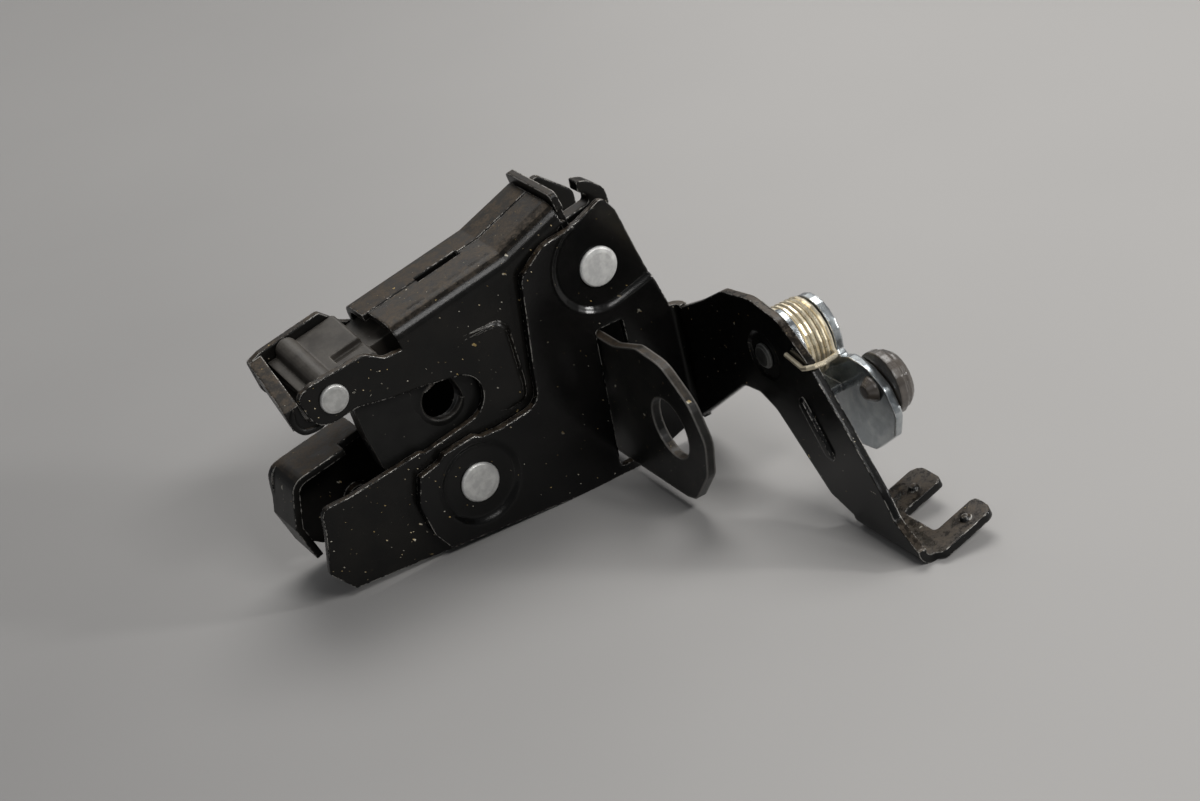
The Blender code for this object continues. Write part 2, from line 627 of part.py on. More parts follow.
def lower_lip():
    """Flange of the back sheet that guides the striker under the mouth, and turns down at its end."""
    path = [housing_point(u, w) for u, w in (
        [(-16.0 * MM, LIP_TOP)] + arc((-34.0 * MM, LIP_TOP - 4.5 * MM), 4.5 * MM, 90, 158)
        + [(-41.6 * MM, 10.0 * MM), (-40.4 * MM, 0.5 * MM)])]
    lip = prism("lip", strip(path, BACK_SHEET), "y", LIP_FRONT, BACK_FACE - 0.4 * MM)
    nick = housing_outline([(-22.4 * MM, 16 * MM, 0), (-10 * MM, 16 * MM, 0), (-10 * MM, 26 * MM, 0),
                            (-22.4 * MM, 26 * MM, 0)])
    return cut(lip, prism("nick", nick, "y", 0, LIP_FRONT + 3.2 * MM))


def jaw_strap():
    """Slanted rim of the upper jaw's end, folded from the back sheet and curled under at the front."""
    front = COVER_FRONT + COVER_SHEET + GAP

    def bar(y, left, right, low, high):
        return [place(housing_point(u, w), y, "y") for u, w in
                ((left, low), (right, low), (right, high), (left, high))]

    rim = loft("rim", [bar(BACK_FACE - 0.4 * MM, STRAP_PLACE - 0.3 * MM, STRAP_PLACE + 3.0 * MM, 41.9 * MM,
                           47.8 * MM),
                       bar(front, STRAP_PLACE - 3.2 * MM, STRAP_PLACE + 0.6 * MM, 38.0 * MM, 43.0 * MM)])
    curl = housing_outline([(STRAP_PLACE - 2.7 * MM, 40.2 * MM, 0), (STRAP_PLACE + 0.5 * MM, 40.2 * MM, 0),
                            (STRAP_PLACE + 0.6 * MM, 38.2 * MM, 1.5 * MM), (STRAP_PLACE + 3.8 * MM, 36.6 * MM, 0),
                            (STRAP_PLACE + 3.6 * MM, 34.9 * MM, 0), (STRAP_PLACE - 0.4 * MM, 35.4 * MM, 2 * MM),
                            (STRAP_PLACE - 2.6 * MM, 37.6 * MM, 2 * MM)])
    return add(rim, prism("curl", curl, "y", front, front + 2.6 * MM))


def back_plate():
    """Back sheet of the housing with its top flange, jaw end wall, striker lip and fixing holes."""
    face = fillet([
        *[(*housing_point(u, w), r) for u, w, r in (
            (-16.4 * MM, LIP_TOP - 0.3 * MM, 0.6 * MM), (-16.4 * MM, MOUTH_LOW + 1.2 * MM, 0),
            (-8.0 * MM, MOUTH_LOW, 0), *mouth_end(), (-2 * MM, MOUTH_HIGH, 8 * MM),
            (-9.7 * MM, MOUTH_HIGH + 2.2 * MM, 6 * MM), (-17 * MM, MOUTH_HIGH + 5 * MM, 4 * MM),
            (STRAP_PLACE - 0.6 * MM, MOUTH_HIGH + 8.4 * MM, 2 * MM),
            (STRAP_PLACE - 0.6 * MM, 47.4 * MM, 1 * MM), (-26.4 * MM, 48.3 * MM, 1 * MM),
            (-9.5 * MM, 48.4 * MM, 1 * MM), (-5.4 * MM, 43.0 * MM, 1.5 * MM), (BACK_LEFT, 41.4 * MM, 0),
            (BACK_LEFT, HOUSING_TOP - SHOULDER, 0),
            (RAMP_START, HOUSING_TOP - SHOULDER, 0), (COVER_RIGHT, HOUSING_TOP_RIGHT - SHOULDER, 0),
            (53.6 * MM, 46.2 * MM, 2 * MM), (60.4 * MM, 37.6 * MM, 3 * MM), (58 * MM, 24 * MM, 4 * MM),
            (40 * MM, 14 * MM, 6 * MM))],
        (36.0 * MM, FOOT, 4 * MM), (-14 * MM, FOOT, 4 * MM), (-34 * MM, FOOT + 5 * MM, 4 * MM),
        *[(*housing_point(u, w), r) for u, w, r in (
            (-39.8 * MM, 0.8 * MM, 1 * MM), (-41.0 * MM, 10 * MM, 0),
            (-38.0 * MM, LIP_TOP - 0.3 * MM, 4 * MM))]])
    plate = prism("back_plate", face, "y", BACK_INSIDE, BACK_FACE)
    rings = [housing_section(u, sheet_corner(BACK_FACE, top_at(u), top_at(u) - SHOULDER - 4 * MM,
                                             SEAM + SEAM_GAP / 2, BACK_SHEET, SHOULDER, -1))
             for u in (BACK_LEFT, RAMP_START, COVER_RIGHT)]
    add(plate, loft("flange", rings))
    cut(plate, seam_slot())
    add(plate, lower_lip(), jaw_strap())
    for x, z in MOUNT_HOLES:
        add(plate, prism("collar", circle((x, z), MOUNT_BORE + COLLAR_WALL, 20), "y",
                         BACK_INSIDE - COLLAR_HEIGHT, BACK_INSIDE + 0.4 * MM))
        cut(plate, prism("bore", circle((x, z), MOUNT_BORE, 20), "y", BACK_INSIDE - COLLAR_HEIGHT - 1 * MM,
                         BACK_FACE + 1 * MM))
    for centre, radius in ((CLAW_PIVOT, RIVET_SHANK), (PAWL_PIVOT, RIVET_SHANK),
                           (housing_point(*JAW_RIVET_UW), JAW_SHANK)):
        cut(plate, hub_hole(centre, radius + SEAT, BACK_INSIDE - 1 * MM, BACK_FACE + 1 * MM))
    return tidy(plate)


def rivet(name, centre, seat, head, shank):
    """A rivet from a domed front head to a flatter head behind the back sheet."""
    front = seat - SEAT
    rear = BACK_FACE + SEAT
    height = RIVET_HEAD_HEIGHT
    return turned(name, [
        (0, front - height), (0.72 * head, front - height), (0.93 * head, front - 0.8 * height),
        (head, front - 0.45 * height), (head, front), (shank, front), (shank, rear),
        (0.9 * head, rear), (0.84 * head, rear + 0.7 * height), (0.6 * head, rear + height),
        (0, rear + height)], "y", centre)


def bush(name, centre, shank, start, wall):
    """A sleeve round a rivet that holds the sheets apart."""
    inner, outer = shank + SEAT, shank + wall
    end = BACK_INSIDE - SEAT
    return turned(name, [(inner, start), (outer, start), (outer, end), (inner, end)],
                  "y", centre, count=24, ring=True)


def claw_shape():
    """Outline of the claw shut: hub, limb across the mouth, striker notch, far limb and tooth."""
    lean = Vector((-math.sin(NOTCH_LEAN), math.cos(NOTCH_LEAN)))
    side = Vector((lean.y, -lean.x))
    centre = Vector((NOTCH_OFFSET, NOTCH_REACH))
    deep = math.degrees(math.atan2(side.y, side.x))
    notch = [tuple(centre + lean * 16 * MM + side * NOTCH_RADIUS)]
    notch += arc(centre, NOTCH_RADIUS, deep, deep - 180)
    notch += [tuple(centre + lean * 16.2 * MM - side * NOTCH_RADIUS)]
    tooth = TOOTH_ANGLE * DEG
    hook = [(TOOTH_RADIUS * math.cos(tooth), TOOTH_RADIUS * math.sin(tooth)),
            (TOOTH_ROOT * math.cos(tooth), TOOTH_ROOT * math.sin(tooth))]
    body = [(p[0], p[1], 0) for p in notch]
    outline = (body + [(-8 * MM, 37.8 * MM, 2 * MM), (-17.4 * MM, 34.2 * MM, 3 * MM),
                       (-18.2 * MM, 26 * MM, 0),
                       (-18.0 * MM, 16 * MM, 6 * MM), (-13.5 * MM, 3 * MM, 8 * MM),
                       (-10 * MM, -8 * MM, 6 * MM),
                       (3 * MM, -12.4 * MM, 6 * MM)]
               + [(TOOTH_RADIUS * math.cos(a * DEG), TOOTH_RADIUS * math.sin(a * DEG), 0)
                  for a in (TOOTH_ANGLE - 19, TOOTH_ANGLE - 9.5)]
               + [(hook[0][0], hook[0][1], 0), (hook[1][0], hook[1][1], 0)]
               + [(TOOTH_ROOT * math.cos(a * DEG), TOOTH_ROOT * math.sin(a * DEG), 0) for a in (-20, 0, 22)]
               + [(16.5 * MM, 24 * MM, 5 * MM), (13.4 * MM, 34.6 * MM, 3 * MM),
                  (7.8 * MM, 37.8 * MM, 2 * MM)])
    return fillet(outline)


def to_row(points):
    """Housing points as X and Z."""
    return [housing_point(u, w) for u, w in points]


def claw():
    """Claw plate, bored to turn on its bush."""
    plate = prism("claw", to_row(claw_shape()), "y", CLAW_FRONT, CLAW_FRONT + CLAW_THICK)
    cut(plate, hub_hole(CLAW_PIVOT, BUSH_RADIUS + HUB_CLEARANCE, 0, BACK_FACE))
    return tidy(plate)


def claw_jacket():
    """Moulded skin on the claw's front, where the mouth shows it and the striker rubs."""
    front = CLAW_FRONT - SEAT - JACKET_THICK
    skin = prism("claw_jacket", to_row(claw_shape()), "y", front, CLAW_FRONT - SEAT)
    keep = to_row([(-24 * MM, 11.5 * MM), (24 * MM, 11.5 * MM), (24 * MM, 42 * MM), (-24 * MM, 42 * MM)])
    combine(skin, prism("keep", keep, "y", 0, BACK_FACE), "INTERSECT")
    return tidy(skin)


def pawl():
    """Pawl that hangs from its pivot and stands against the claw's tooth."""
    tooth = TOOTH_ANGLE * DEG
    out = Vector((math.cos(tooth), math.sin(tooth)))
    along = Vector((-out.y, out.x))
    inner, outer = TOOTH_RADIUS - TOOTH_HOLD, TOOTH_RADIUS - TOOTH_HOLD + PAWL_WIDTH
    stations = [(inner, TOOTH_GAP, 0.3 * MM), (outer - 1 * MM, TOOTH_GAP, 2 * MM),
                (outer, TOOTH_GAP + 8 * MM, 4 * MM)]
    tip = [(*housing_point(*(out * r + along * s)), c) for r, s, c in stations]
    throat = housing_point(*(out * inner + along * 41 * MM))
    px, pz = PAWL_PIVOT
    outline = fillet(tip + [(TAB_FACE - GAP, 12 * MM, 2 * MM), (TAB_FACE - GAP, SLOT_HIGH - 0.6 * MM, 0),
                            (TAB_FACE + TAB_SHEET + 4 * MM, SLOT_HIGH - 0.6 * MM, 2 * MM),
                            (px + PAWL_HUB, pz - 6 * MM, 6 * MM), (px + PAWL_HUB, pz + PAWL_HUB, 8.8 * MM),
                            (px - PAWL_HUB, pz + PAWL_HUB, 8.8 * MM), (throat[0], throat[1], 6 * MM)])
    lever = prism("pawl", outline, "y", CLAW_FRONT, CLAW_FRONT + CLAW_THICK)
    cut(lever, hub_hole(PAWL_PIVOT, BUSH_RADIUS + HUB_CLEARANCE, 0, BACK_FACE))
    return tidy(lever)


def release_lever():
    """Lever behind the pawl whose edge turns forward into a tab with a round eye."""
    px, pz = PAWL_PIVOT
    start = CLAW_FRONT + CLAW_THICK + SEAT
    end = start + TAB_SHEET
    tab_top, tab_low = TAB_HIGH, TAB_LOW
    bend_line = TAB_FACE + TAB_SHEET + BEND
    hang = prism("release_lever", fillet([
        (bend_line, tab_low, 0), (TAB_FACE + 11 * MM, tab_low + 1 * MM, 4 * MM),
        (TAB_FACE + 12 * MM, tab_top, 8 * MM), (px + PAWL_HUB, pz - 4 * MM, 6 * MM),
        (px + PAWL_HUB, pz + PAWL_HUB, 8.8 * MM), (px - PAWL_HUB, pz + PAWL_HUB, 8.8 * MM),
        (px - PAWL_HUB, pz - 4 * MM, 6 * MM), (bend_line, tab_top + 1 * MM, 0)]), "y", start, end)
    turn = strip([(bend_line + 0.5 * MM, start), *arc((bend_line, start - BEND), BEND, 90, 180),
                  (TAB_FACE + TAB_SHEET, start - BEND - 0.5 * MM)], -TAB_SHEET)
    add(hang, prism("bend", turn, "z", tab_low + 0.1 * MM, tab_top + 0.6 * MM))
    tab = prism("tab", fillet([
        (start - BEND, tab_top, 0), (-6 * MM, tab_top, 6 * MM), (-17.5 * MM, tab_top + 3.4 * MM, 6 * MM),
        (-28.5 * MM, tab_top + 2.6 * MM, 10 * MM), (-TAB_REACH + 4.2 * MM, 17.0 * MM, 8 * MM),
        (-TAB_REACH, 8 * MM, 6 * MM), (-TAB_REACH + 2.5 * MM, -1.5 * MM, 6 * MM),
        (-31.5 * MM, -11.0 * MM, 3 * MM),
        (-27 * MM, tab_low, 3 * MM), (start - BEND, tab_low, 0)]), "x", TAB_FACE, TAB_FACE + TAB_SHEET)
    add(hang, tab)
    cut(hang, prism("eye", circle(EYE_CENTRE, EYE_RADIUS, 28), "x", TAB_FACE - 1 * MM,
                    TAB_FACE + TAB_SHEET + 1 * MM),
        hub_hole(PAWL_PIVOT, BUSH_RADIUS + HUB_CLEARANCE, 0, BACK_FACE))
    return tidy(hang)


def helix(centre, radius, first, turns, start, pitch, axis, steps=14):
    """Points of a coil about an axis, from an angle in degrees."""
    points = []
    for k in range(round(turns * steps) + 1):
        angle = first * DEG + 2 * math.pi * k / steps
        flat = (centre[0] + radius * math.cos(angle), centre[1] + radius * math.sin(angle))
        points.append(place(flat, start + pitch * k / steps, axis))
    return points


def hub_spring(name, centre, first, start):
    """Torsion spring round a bush, with two straight legs."""
    radius = BUSH_RADIUS + SPRING_WIRE + 2 * GAP
    pitch = 2 * SPRING_WIRE + 0.5 * GAP
    coil = helix(centre, radius, first, SPRING_TURNS + 0.4, start + SPRING_WIRE, pitch, "y")
    lead = coil[0] + (coil[0] - coil[1]).normalized() * 9 * MM
    tail = coil[-1] + (coil[-1] - coil[-2]).normalized() * 9 * MM
    lead.y, tail.y = coil[0].y, coil[-1].y
    return wire(name, [lead] + coil + [tail], SPRING_WIRE)


def jaw_block():
    """Moulded filler of the upper jaw, with a sloping top, a ridge and a slot behind the front sheet."""
    front, back = COVER_FRONT + COVER_SHEET + BLOCK_RECESS, BACK_INSIDE - GAP
    behind_claw = CLAW_FRONT + CLAW_THICK + 2 * GAP
    left, right = STRAP_PLACE + 3.4 * MM, BLOCK_RIGHT
    body = prism("jaw_block", housing_outline([
        (left + 1.2 * MM, 35.8 * MM, 1 * MM), (-16 * MM, MOUTH_HIGH + 5.2 * MM, 2 * MM),
        (-4 * MM, MOUTH_HIGH + 1.4 * MM, 2 * MM), (right, MOUTH_HIGH + 1.4 * MM, 1 * MM),
        (right, BLOCK_LOW + 1 * MM, 0), (left + 1.2 * MM, BLOCK_LOW + 1 * MM, 0)]), "y", behind_claw, back)

    def crown(rise):
        top = BLOCK_TOP + rise
        ridge = arc((-20.3 * MM, top - 1.4 * MM), 2.9 * MM, 176, 16)
        shape = [(left, BLOCK_LOW), (left, top - 1.6 * MM), (-23.5 * MM, top - 1.6 * MM), *ridge,
                 (-17.3 * MM, top - 0.6 * MM), (-7.2 * MM, top - 0.6 * MM), (-6.6 * MM, top - 1.2 * MM),
                 (-6.6 * MM, BLOCK_LOW)]
        return to_row(shape)

    add(body, slanted("crown", crown(0), front, crown(BLOCK_RISE), back - 0.2 * MM))
    slot = housing_outline([(-15.0 * MM, BLOCK_LOW + 1.5 * MM, 0), (-5.0 * MM, BLOCK_LOW + 1.5 * MM, 0),
                            (-5.0 * MM, BLOCK_TOP + 6 * MM, 0), (-15.0 * MM, BLOCK_TOP + 6 * MM, 0)])
    cut(body, prism("slot", slot, "y", front + 4.0 * MM, front + 7.4 * MM),
        hub_hole(housing_point(*JAW_RIVET_UW), JAW_SHANK + JAW_BUSH_WALL + SEAT, 0, BACK_FACE))
    return tidy(body)


def striker_buffer():
    """Rubber stop behind the mouth's end, against which the striker lands."""
    start, end = CLAW_FRONT + CLAW_THICK + 2 * GAP, BACK_INSIDE - SEAT
    return prism("striker_buffer", housing_outline([
        (MOUTH_END + GAP, MOUTH_LOW + 0.5 * MM, 1 * MM), (MOUTH_END + 6 * MM, MOUTH_LOW + 0.5 * MM, 2 * MM),
        (MOUTH_END + 6 * MM, MOUTH_HIGH - 0.5 * MM, 2 * MM),
        (MOUTH_END + GAP, MOUTH_HIGH - 0.5 * MM, 1 * MM)]),
        "y", start, end)


def end_blade():
    """Plate that closes the housing's end above both flanges, with a hooked tab beyond it."""
    front, back = COVER_FRONT + COVER_SHEET + SEAT, BACK_INSIDE - SEAT
    top = HOUSING_TOP_RIGHT + BLADE_RISE
    section = fillet([(front, 41 * MM, 1 * MM), (back, 41 * MM, 1 * MM), (back, top, 1.5 * MM),
                      (front - 0.6 * MM, top - 0.2 * MM, 1.5 * MM),
                      (front - 1.4 * MM, top - 4.8 * MM, 0.8 * MM),
                      (front, top - 5.2 * MM, 0)])
    left = COVER_RIGHT + GAP
    blade = loft("end_blade", [housing_section(left, section),
                               housing_section(left + BLADE_SHEET, section)])
    u, w = HOOK_PLACE
    hook = housing_outline([
        (left + 1 * MM, w, 0), (u - 0.6 * MM, w, 0), (u, w - 1.4 * MM, 0.5 * MM),
        (u + 2.9 * MM, w - 1.2 * MM, 0.5 * MM), (u + 3.2 * MM, w + 3 * MM, 3 * MM),
        (u + 0.2 * MM, w + 7 * MM, 3 * MM), (u - 2.6 * MM, w + 8.4 * MM, 0.4 * MM),
        (u - 3.2 * MM, w + 5.8 * MM, 0.6 * MM), (u - 1.2 * MM, w + 3.6 * MM, 1.5 * MM),
        (u - 1.8 * MM, w + BLADE_SHEET, 1 * MM), (left + 1 * MM, w + BLADE_SHEET, 0)])
    return tidy(add(blade, prism("hook", hook, "y", front + 1 * MM, front + 4.6 * MM)))


def lever_pin():
    """Stepped pin riveted into the flange, with a retaining disc at its far end."""
    face = FLANGE_FACE + 0.5 * MM - SEAT
    rear = FLANGE_FACE + BRACKET_SHEET + SEAT
    disc = rear + LEVER_GAUGE + 2 * LEVER_SHEET + 4 * SEAT
    return turned("lever_pin", [
        (0, face - 1.1 * MM), (0.8 * PIN_HEAD, face - 1.1 * MM), (PIN_HEAD, face - 0.5 * MM),
        (PIN_HEAD, face),
        (PIN_SHANK, face), (PIN_SHANK, rear), (LEVER_PIN, rear), (LEVER_PIN, disc),
        (DISC_RADIUS - 0.5 * MM, disc),
        (DISC_RADIUS, disc + 0.5 * MM), (DISC_RADIUS, disc + DISC_THICK - 0.6 * MM),
        (DISC_RADIUS - 0.6 * MM, disc + DISC_THICK), (0, disc + DISC_THICK)], "x", LEVER_PIVOT, count=36)


def cheek(name, corners, start):
    """One side of the cable lever."""
    return prism(name, fillet(corners), "x", start, start + LEVER_SHEET)


def cable_lever():
    """Folded lever: a cheek behind the flange, a web under the coil and a cheek that carries the clip."""
    y, z = LEVER_PIVOT
    inner = LEVER_START
    outer = inner + LEVER_SHEET + LEVER_GAUGE
    lever = cheek("cable_lever", [
        (y + 7 * MM, z + 5 * MM, 5 * MM), (y - 4.5 * MM, z + 12.4 * MM, 5 * MM),
        (y - 9.5 * MM, z + 10.2 * MM, 5 * MM),
        (y - 12.8 * MM, z + 5 * MM, 3 * MM), (y - 9.6 * MM, z - 8 * MM, 2 * MM), (y - 8 * MM, WEB_LOW, 0),
        (y + 5 * MM, WEB_LOW, 2 * MM), (y + 7 * MM, z - 4 * MM, 4 * MM)], inner)
    hub = [(*p, 0) for p in arc(LEVER_PIVOT, LEVER_HUB, -30, 192)]
    add(lever, cheek("outer", hub + [
        (y - 10.0 * MM, z - 3.2 * MM, 1 * MM), (y - 13.6 * MM, z - 2.0 * MM, 3 * MM),
        (y - 20 * MM, z - 2.6 * MM, 6 * MM), (y - 26 * MM, z - 6 * MM, 5 * MM), (y - 29 * MM, z - 12 * MM, 3 * MM),
        (y - 26.8 * MM, z - 18.2 * MM, 2 * MM), (y - 18 * MM, z - 25 * MM, 3 * MM),
        (y - 6 * MM, z - 26.6 * MM, 4 * MM), (y + 5 * MM, WEB_LOW, 2 * MM)], outer))
    add(lever, prism("web", [(y - 8 * MM, WEB_LOW), (y + 4 * MM, WEB_LOW),
                             (y + 4 * MM, WEB_LOW + LEVER_SHEET), (y - 8 * MM, WEB_LOW + LEVER_SHEET)],
                     "x", inner + 0.3 * MM, outer + LEVER_SHEET - 0.3 * MM))
    cut(lever, prism("bore", circle(LEVER_PIVOT, LEVER_PIN + HUB_CLEARANCE), "x", inner - 1 * MM,
                     outer + 5 * MM),
        prism("clip_hole", circle(CLIP_PLACE, CLIP_NECK + HUB_CLEARANCE, 20), "x", outer - 1 * MM,
              outer + 5 * MM))
    return tidy(lever)


def lever_spring():
    """Close-wound return spring on the pin, with one leg hooked round the flange's front edge."""
    y, z = LEVER_PIVOT
    pitch = 2 * COIL_WIRE + 0.1 * MM
    start = LEVER_START + LEVER_SHEET + COIL_WIRE + 2 * GAP
    coil = helix(LEVER_PIVOT, COIL_RADIUS, 5, COIL_TURNS, start, pitch, "x", steps=20)
    end = coil[-1].x
    face = FLANGE_FACE - COIL_WIRE - SEAT
    edge = -59.5 * MM
    leg = [Vector((end + 0.1 * MM, y - COIL_RADIUS - 0.9 * MM, z - 2.0 * MM)),
           Vector((end - 1.0 * MM, y - 11.2 * MM, z - 1.5 * MM)),
           Vector((FLANGE_FACE + BRACKET_SHEET + 1.2 * MM, edge, z + 4.0 * MM)),
           Vector((FLANGE_FACE + 0.6 * MM, edge - 0.2 * MM, z + 4.4 * MM)),
           Vector((face + 0.1 * MM, edge + 0.8 * MM, z + 4.2 * MM)),
           Vector((face, edge + 2.8 * MM, z + 3.4 * MM)),
           Vector((face, y - 11.6 * MM, z + 4.8 * MM))]
    foot = [coil[0] + Vector((0, 0.2 * MM, -2.4 * MM)), coil[0] + Vector((0, -0.6 * MM, -4.4 * MM))]
    return wire("lever_spring", foot[::-1] + coil + leg, COIL_WIRE)


def cable_clip():
    """Moulded cable end holder that snaps through the lever and swivels in it."""
    sheet_in = LEVER_START + LEVER_SHEET + LEVER_GAUGE
    sheet_out = sheet_in + LEVER_SHEET
    clip = turned("cable_clip", [
        (0, sheet_in - 2.4 * MM), (CLIP_NECK - 0.8 * MM, sheet_in - 2.4 * MM),
        (CLIP_NECK + 0.7 * MM, sheet_in - GAP),
        (CLIP_NECK, sheet_in - GAP), (CLIP_NECK, sheet_out + GAP), (CLIP_RADIUS, sheet_out + GAP),
        (CLIP_RADIUS, sheet_out + 2.2 * MM), (CLIP_RADIUS - 0.7 * MM, sheet_out + 3.0 * MM),
        (CLIP_RADIUS - 0.7 * MM, sheet_out + CLIP_HEAD - 1.8 * MM),
        (CLIP_RADIUS - 1.6 * MM, sheet_out + CLIP_HEAD - 0.6 * MM),
        (CLIP_RADIUS - 3.0 * MM, sheet_out + CLIP_HEAD), (0, sheet_out + CLIP_HEAD)], "x", CLIP_PLACE,
        count=24)
    y, z = CLIP_PLACE
    cable_way = prism("cable_way", [(y - 1.0 * MM, z - 12 * MM), (y + 1.0 * MM, z - 12 * MM),
                                    (y + 1.0 * MM, z + 2.0 * MM), (y - 1.0 * MM, z + 2.0 * MM)],
                      "x", sheet_out + 3.2 * MM, sheet_out + 20 * MM)
    cut(clip, cable_way)
    return tidy(clip)


def joint_frame(name, place_on_axis, root):
    """An empty on a joint's axis."""
    frame = bpy.data.objects.new(name, None)
    frame.location = place_on_axis
    frame.parent = root
    bpy.context.collection.objects.link(frame)
    return frame


def hang_on(frame, pieces):
    """Parent pieces to an empty without moving them."""
    for piece in pieces:
        piece.parent = frame
        piece.matrix_parent_inverse = Matrix.Translation(frame.location).inverted()


def stand_on_origin(root):
    """Move the whole part so that the middle of its box stands on the origin."""
    bpy.context.view_layer.update()
    depsgraph = bpy.context.evaluated_depsgraph_get()
    lows, highs = Vector((math.inf,) * 3), Vector((-math.inf,) * 3)
    for thing in bpy.data.objects:
        if thing.type == "EMPTY":
            continue
        mesh = bpy.data.meshes.new_from_object(thing.evaluated_get(depsgraph))
        for vertex in mesh.vertices:
            point = thing.matrix_world @ vertex.co
            for i in range(3):
                lows[i], highs[i] = min(lows[i], point[i]), max(highs[i], point[i])
        bpy.data.meshes.remove(mesh)
    root.location = (-(lows.x + highs.x) / 2, -(lows.y + highs.y) / 2, -lows.z)
    bpy.context.view_layer.update()


def build():
    """Make every piece, hang the moving ones on their axes and stand the latch on the origin."""
    clear_scene()
    behind_dish = BRACKET_SHEET + DISH_DEPTH
    jaw_place = housing_point(*JAW_RIVET_UW)
    behind_claw = CLAW_FRONT + CLAW_THICK + 2 * GAP
    fixed = (
        dress(GLOSS, bracket_plate())
        + dress(COAT, front_cover(), back_plate(), end_blade())
        + dress(STEEL,
                rivet("claw_rivet", CLAW_PIVOT, DISH_DEPTH, RIVET_HEAD, RIVET_SHANK),
                rivet("pawl_rivet", PAWL_PIVOT, DISH_DEPTH, RIVET_HEAD, RIVET_SHANK),
                rivet("jaw_rivet", jaw_place, COVER_FRONT, JAW_HEAD, JAW_SHANK),
                bush("claw_bush", CLAW_PIVOT, RIVET_SHANK, behind_dish + SEAT, BUSH_WALL),
                bush("pawl_bush", PAWL_PIVOT, RIVET_SHANK, behind_dish + SEAT, BUSH_WALL),
                bush("jaw_bush", jaw_place, JAW_SHANK, COVER_FRONT + COVER_SHEET + SEAT, JAW_BUSH_WALL))
        + dress(WIRE, hub_spring("claw_spring", CLAW_PIVOT, CLAW_SPRING_ANGLE, behind_claw),
                hub_spring("pawl_spring", PAWL_PIVOT, 0, behind_claw + TAB_SHEET), lever_spring())
        + dress(MOULDING, jaw_block())
        + dress(RUBBER, striker_buffer())
        + dress(ZINC, lever_pin()))
    root = bpy.data.objects.new("latch", None)
    bpy.context.collection.objects.link(root)
    for piece in fixed:
        piece.parent = root
    claw_axis = joint_frame("claw_axis", (CLAW_PIVOT[0], 0, CLAW_PIVOT[1]), root)
    hang_on(claw_axis, dress(GLOSS, claw()) + dress(MOULDING, claw_jacket()))
    pawl_axis = joint_frame("pawl_axis", (PAWL_PIVOT[0], 0, PAWL_PIVOT[1]), root)
    hang_on(pawl_axis, dress(COAT, pawl(), release_lever()))
    lever_axis = joint_frame("lever_axis", (LEVER_START, *LEVER_PIVOT), root)
    hang_on(lever_axis, dress(ZINC, cable_lever()))
    clip_axis = joint_frame("clip_axis", (LEVER_START, *CLIP_PLACE), root)
    hang_on(clip_axis, dress(MOULDING, cable_clip()))
    stand_on_origin(root)


build()
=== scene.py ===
import math

import bmesh
import bpy
from mathutils import Matrix, Vector


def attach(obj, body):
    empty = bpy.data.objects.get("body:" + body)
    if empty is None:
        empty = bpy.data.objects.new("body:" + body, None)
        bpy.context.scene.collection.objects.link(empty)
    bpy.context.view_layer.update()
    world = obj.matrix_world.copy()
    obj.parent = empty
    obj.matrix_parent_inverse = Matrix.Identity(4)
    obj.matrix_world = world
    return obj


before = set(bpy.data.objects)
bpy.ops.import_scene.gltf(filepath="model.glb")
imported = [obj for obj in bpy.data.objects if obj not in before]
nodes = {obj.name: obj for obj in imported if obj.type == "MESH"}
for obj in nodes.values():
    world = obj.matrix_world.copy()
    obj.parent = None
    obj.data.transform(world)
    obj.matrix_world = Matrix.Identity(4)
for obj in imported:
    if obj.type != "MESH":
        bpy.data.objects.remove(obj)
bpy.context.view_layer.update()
print("frame loaded")

mm = 0.001


class Field:
    # a value, colour or vector that varies over a surface: one output socket of a tree
    def __init__(self, paint, socket):
        self.paint, self.socket = paint, socket

    def reckon(self, kind, first, second):
        return self.paint.node("ShaderNodeMath", {"operation": kind}, {0: first, 1: second})

    def __add__(self, other): return self.reckon("ADD", self, other)
    def __radd__(self, other): return self.reckon("ADD", other, self)
    def __sub__(self, other): return self.reckon("SUBTRACT", self, other)
    def __rsub__(self, other): return self.reckon("SUBTRACT", other, self)
    def __mul__(self, other): return self.reckon("MULTIPLY", self, other)
    def __rmul__(self, other): return self.reckon("MULTIPLY", other, self)

    def larger(self, other): return self.reckon("MAXIMUM", self, other)
    def lift(self, floor): return floor + (1.0 - floor) * self  # a mask that never falls below the floor

    def ease(self, low, high):  # 0 below low, 1 above high, smooth between
        return self.paint.node("ShaderNodeMapRange", {"interpolation_type": "SMOOTHSTEP"},
                               {"Value": self, "From Min": low, "From Max": high})


fleckLook = {"turn": (0.4, 0.7, 0.3), "lumps": 0.8, "detail": 3.0, "push": 3.0, "fade": 0.2, "full": 0.3}
hairLook = {"turns": [(0.3, 0.9, 0.2), (0.2, -0.6, 0.1), (0.1, 0.15, 0.5)], "spacing": 1.6, "squeeze": 0.045}
bevelSamples = {"softRound": 6, "edgeRound": 4}


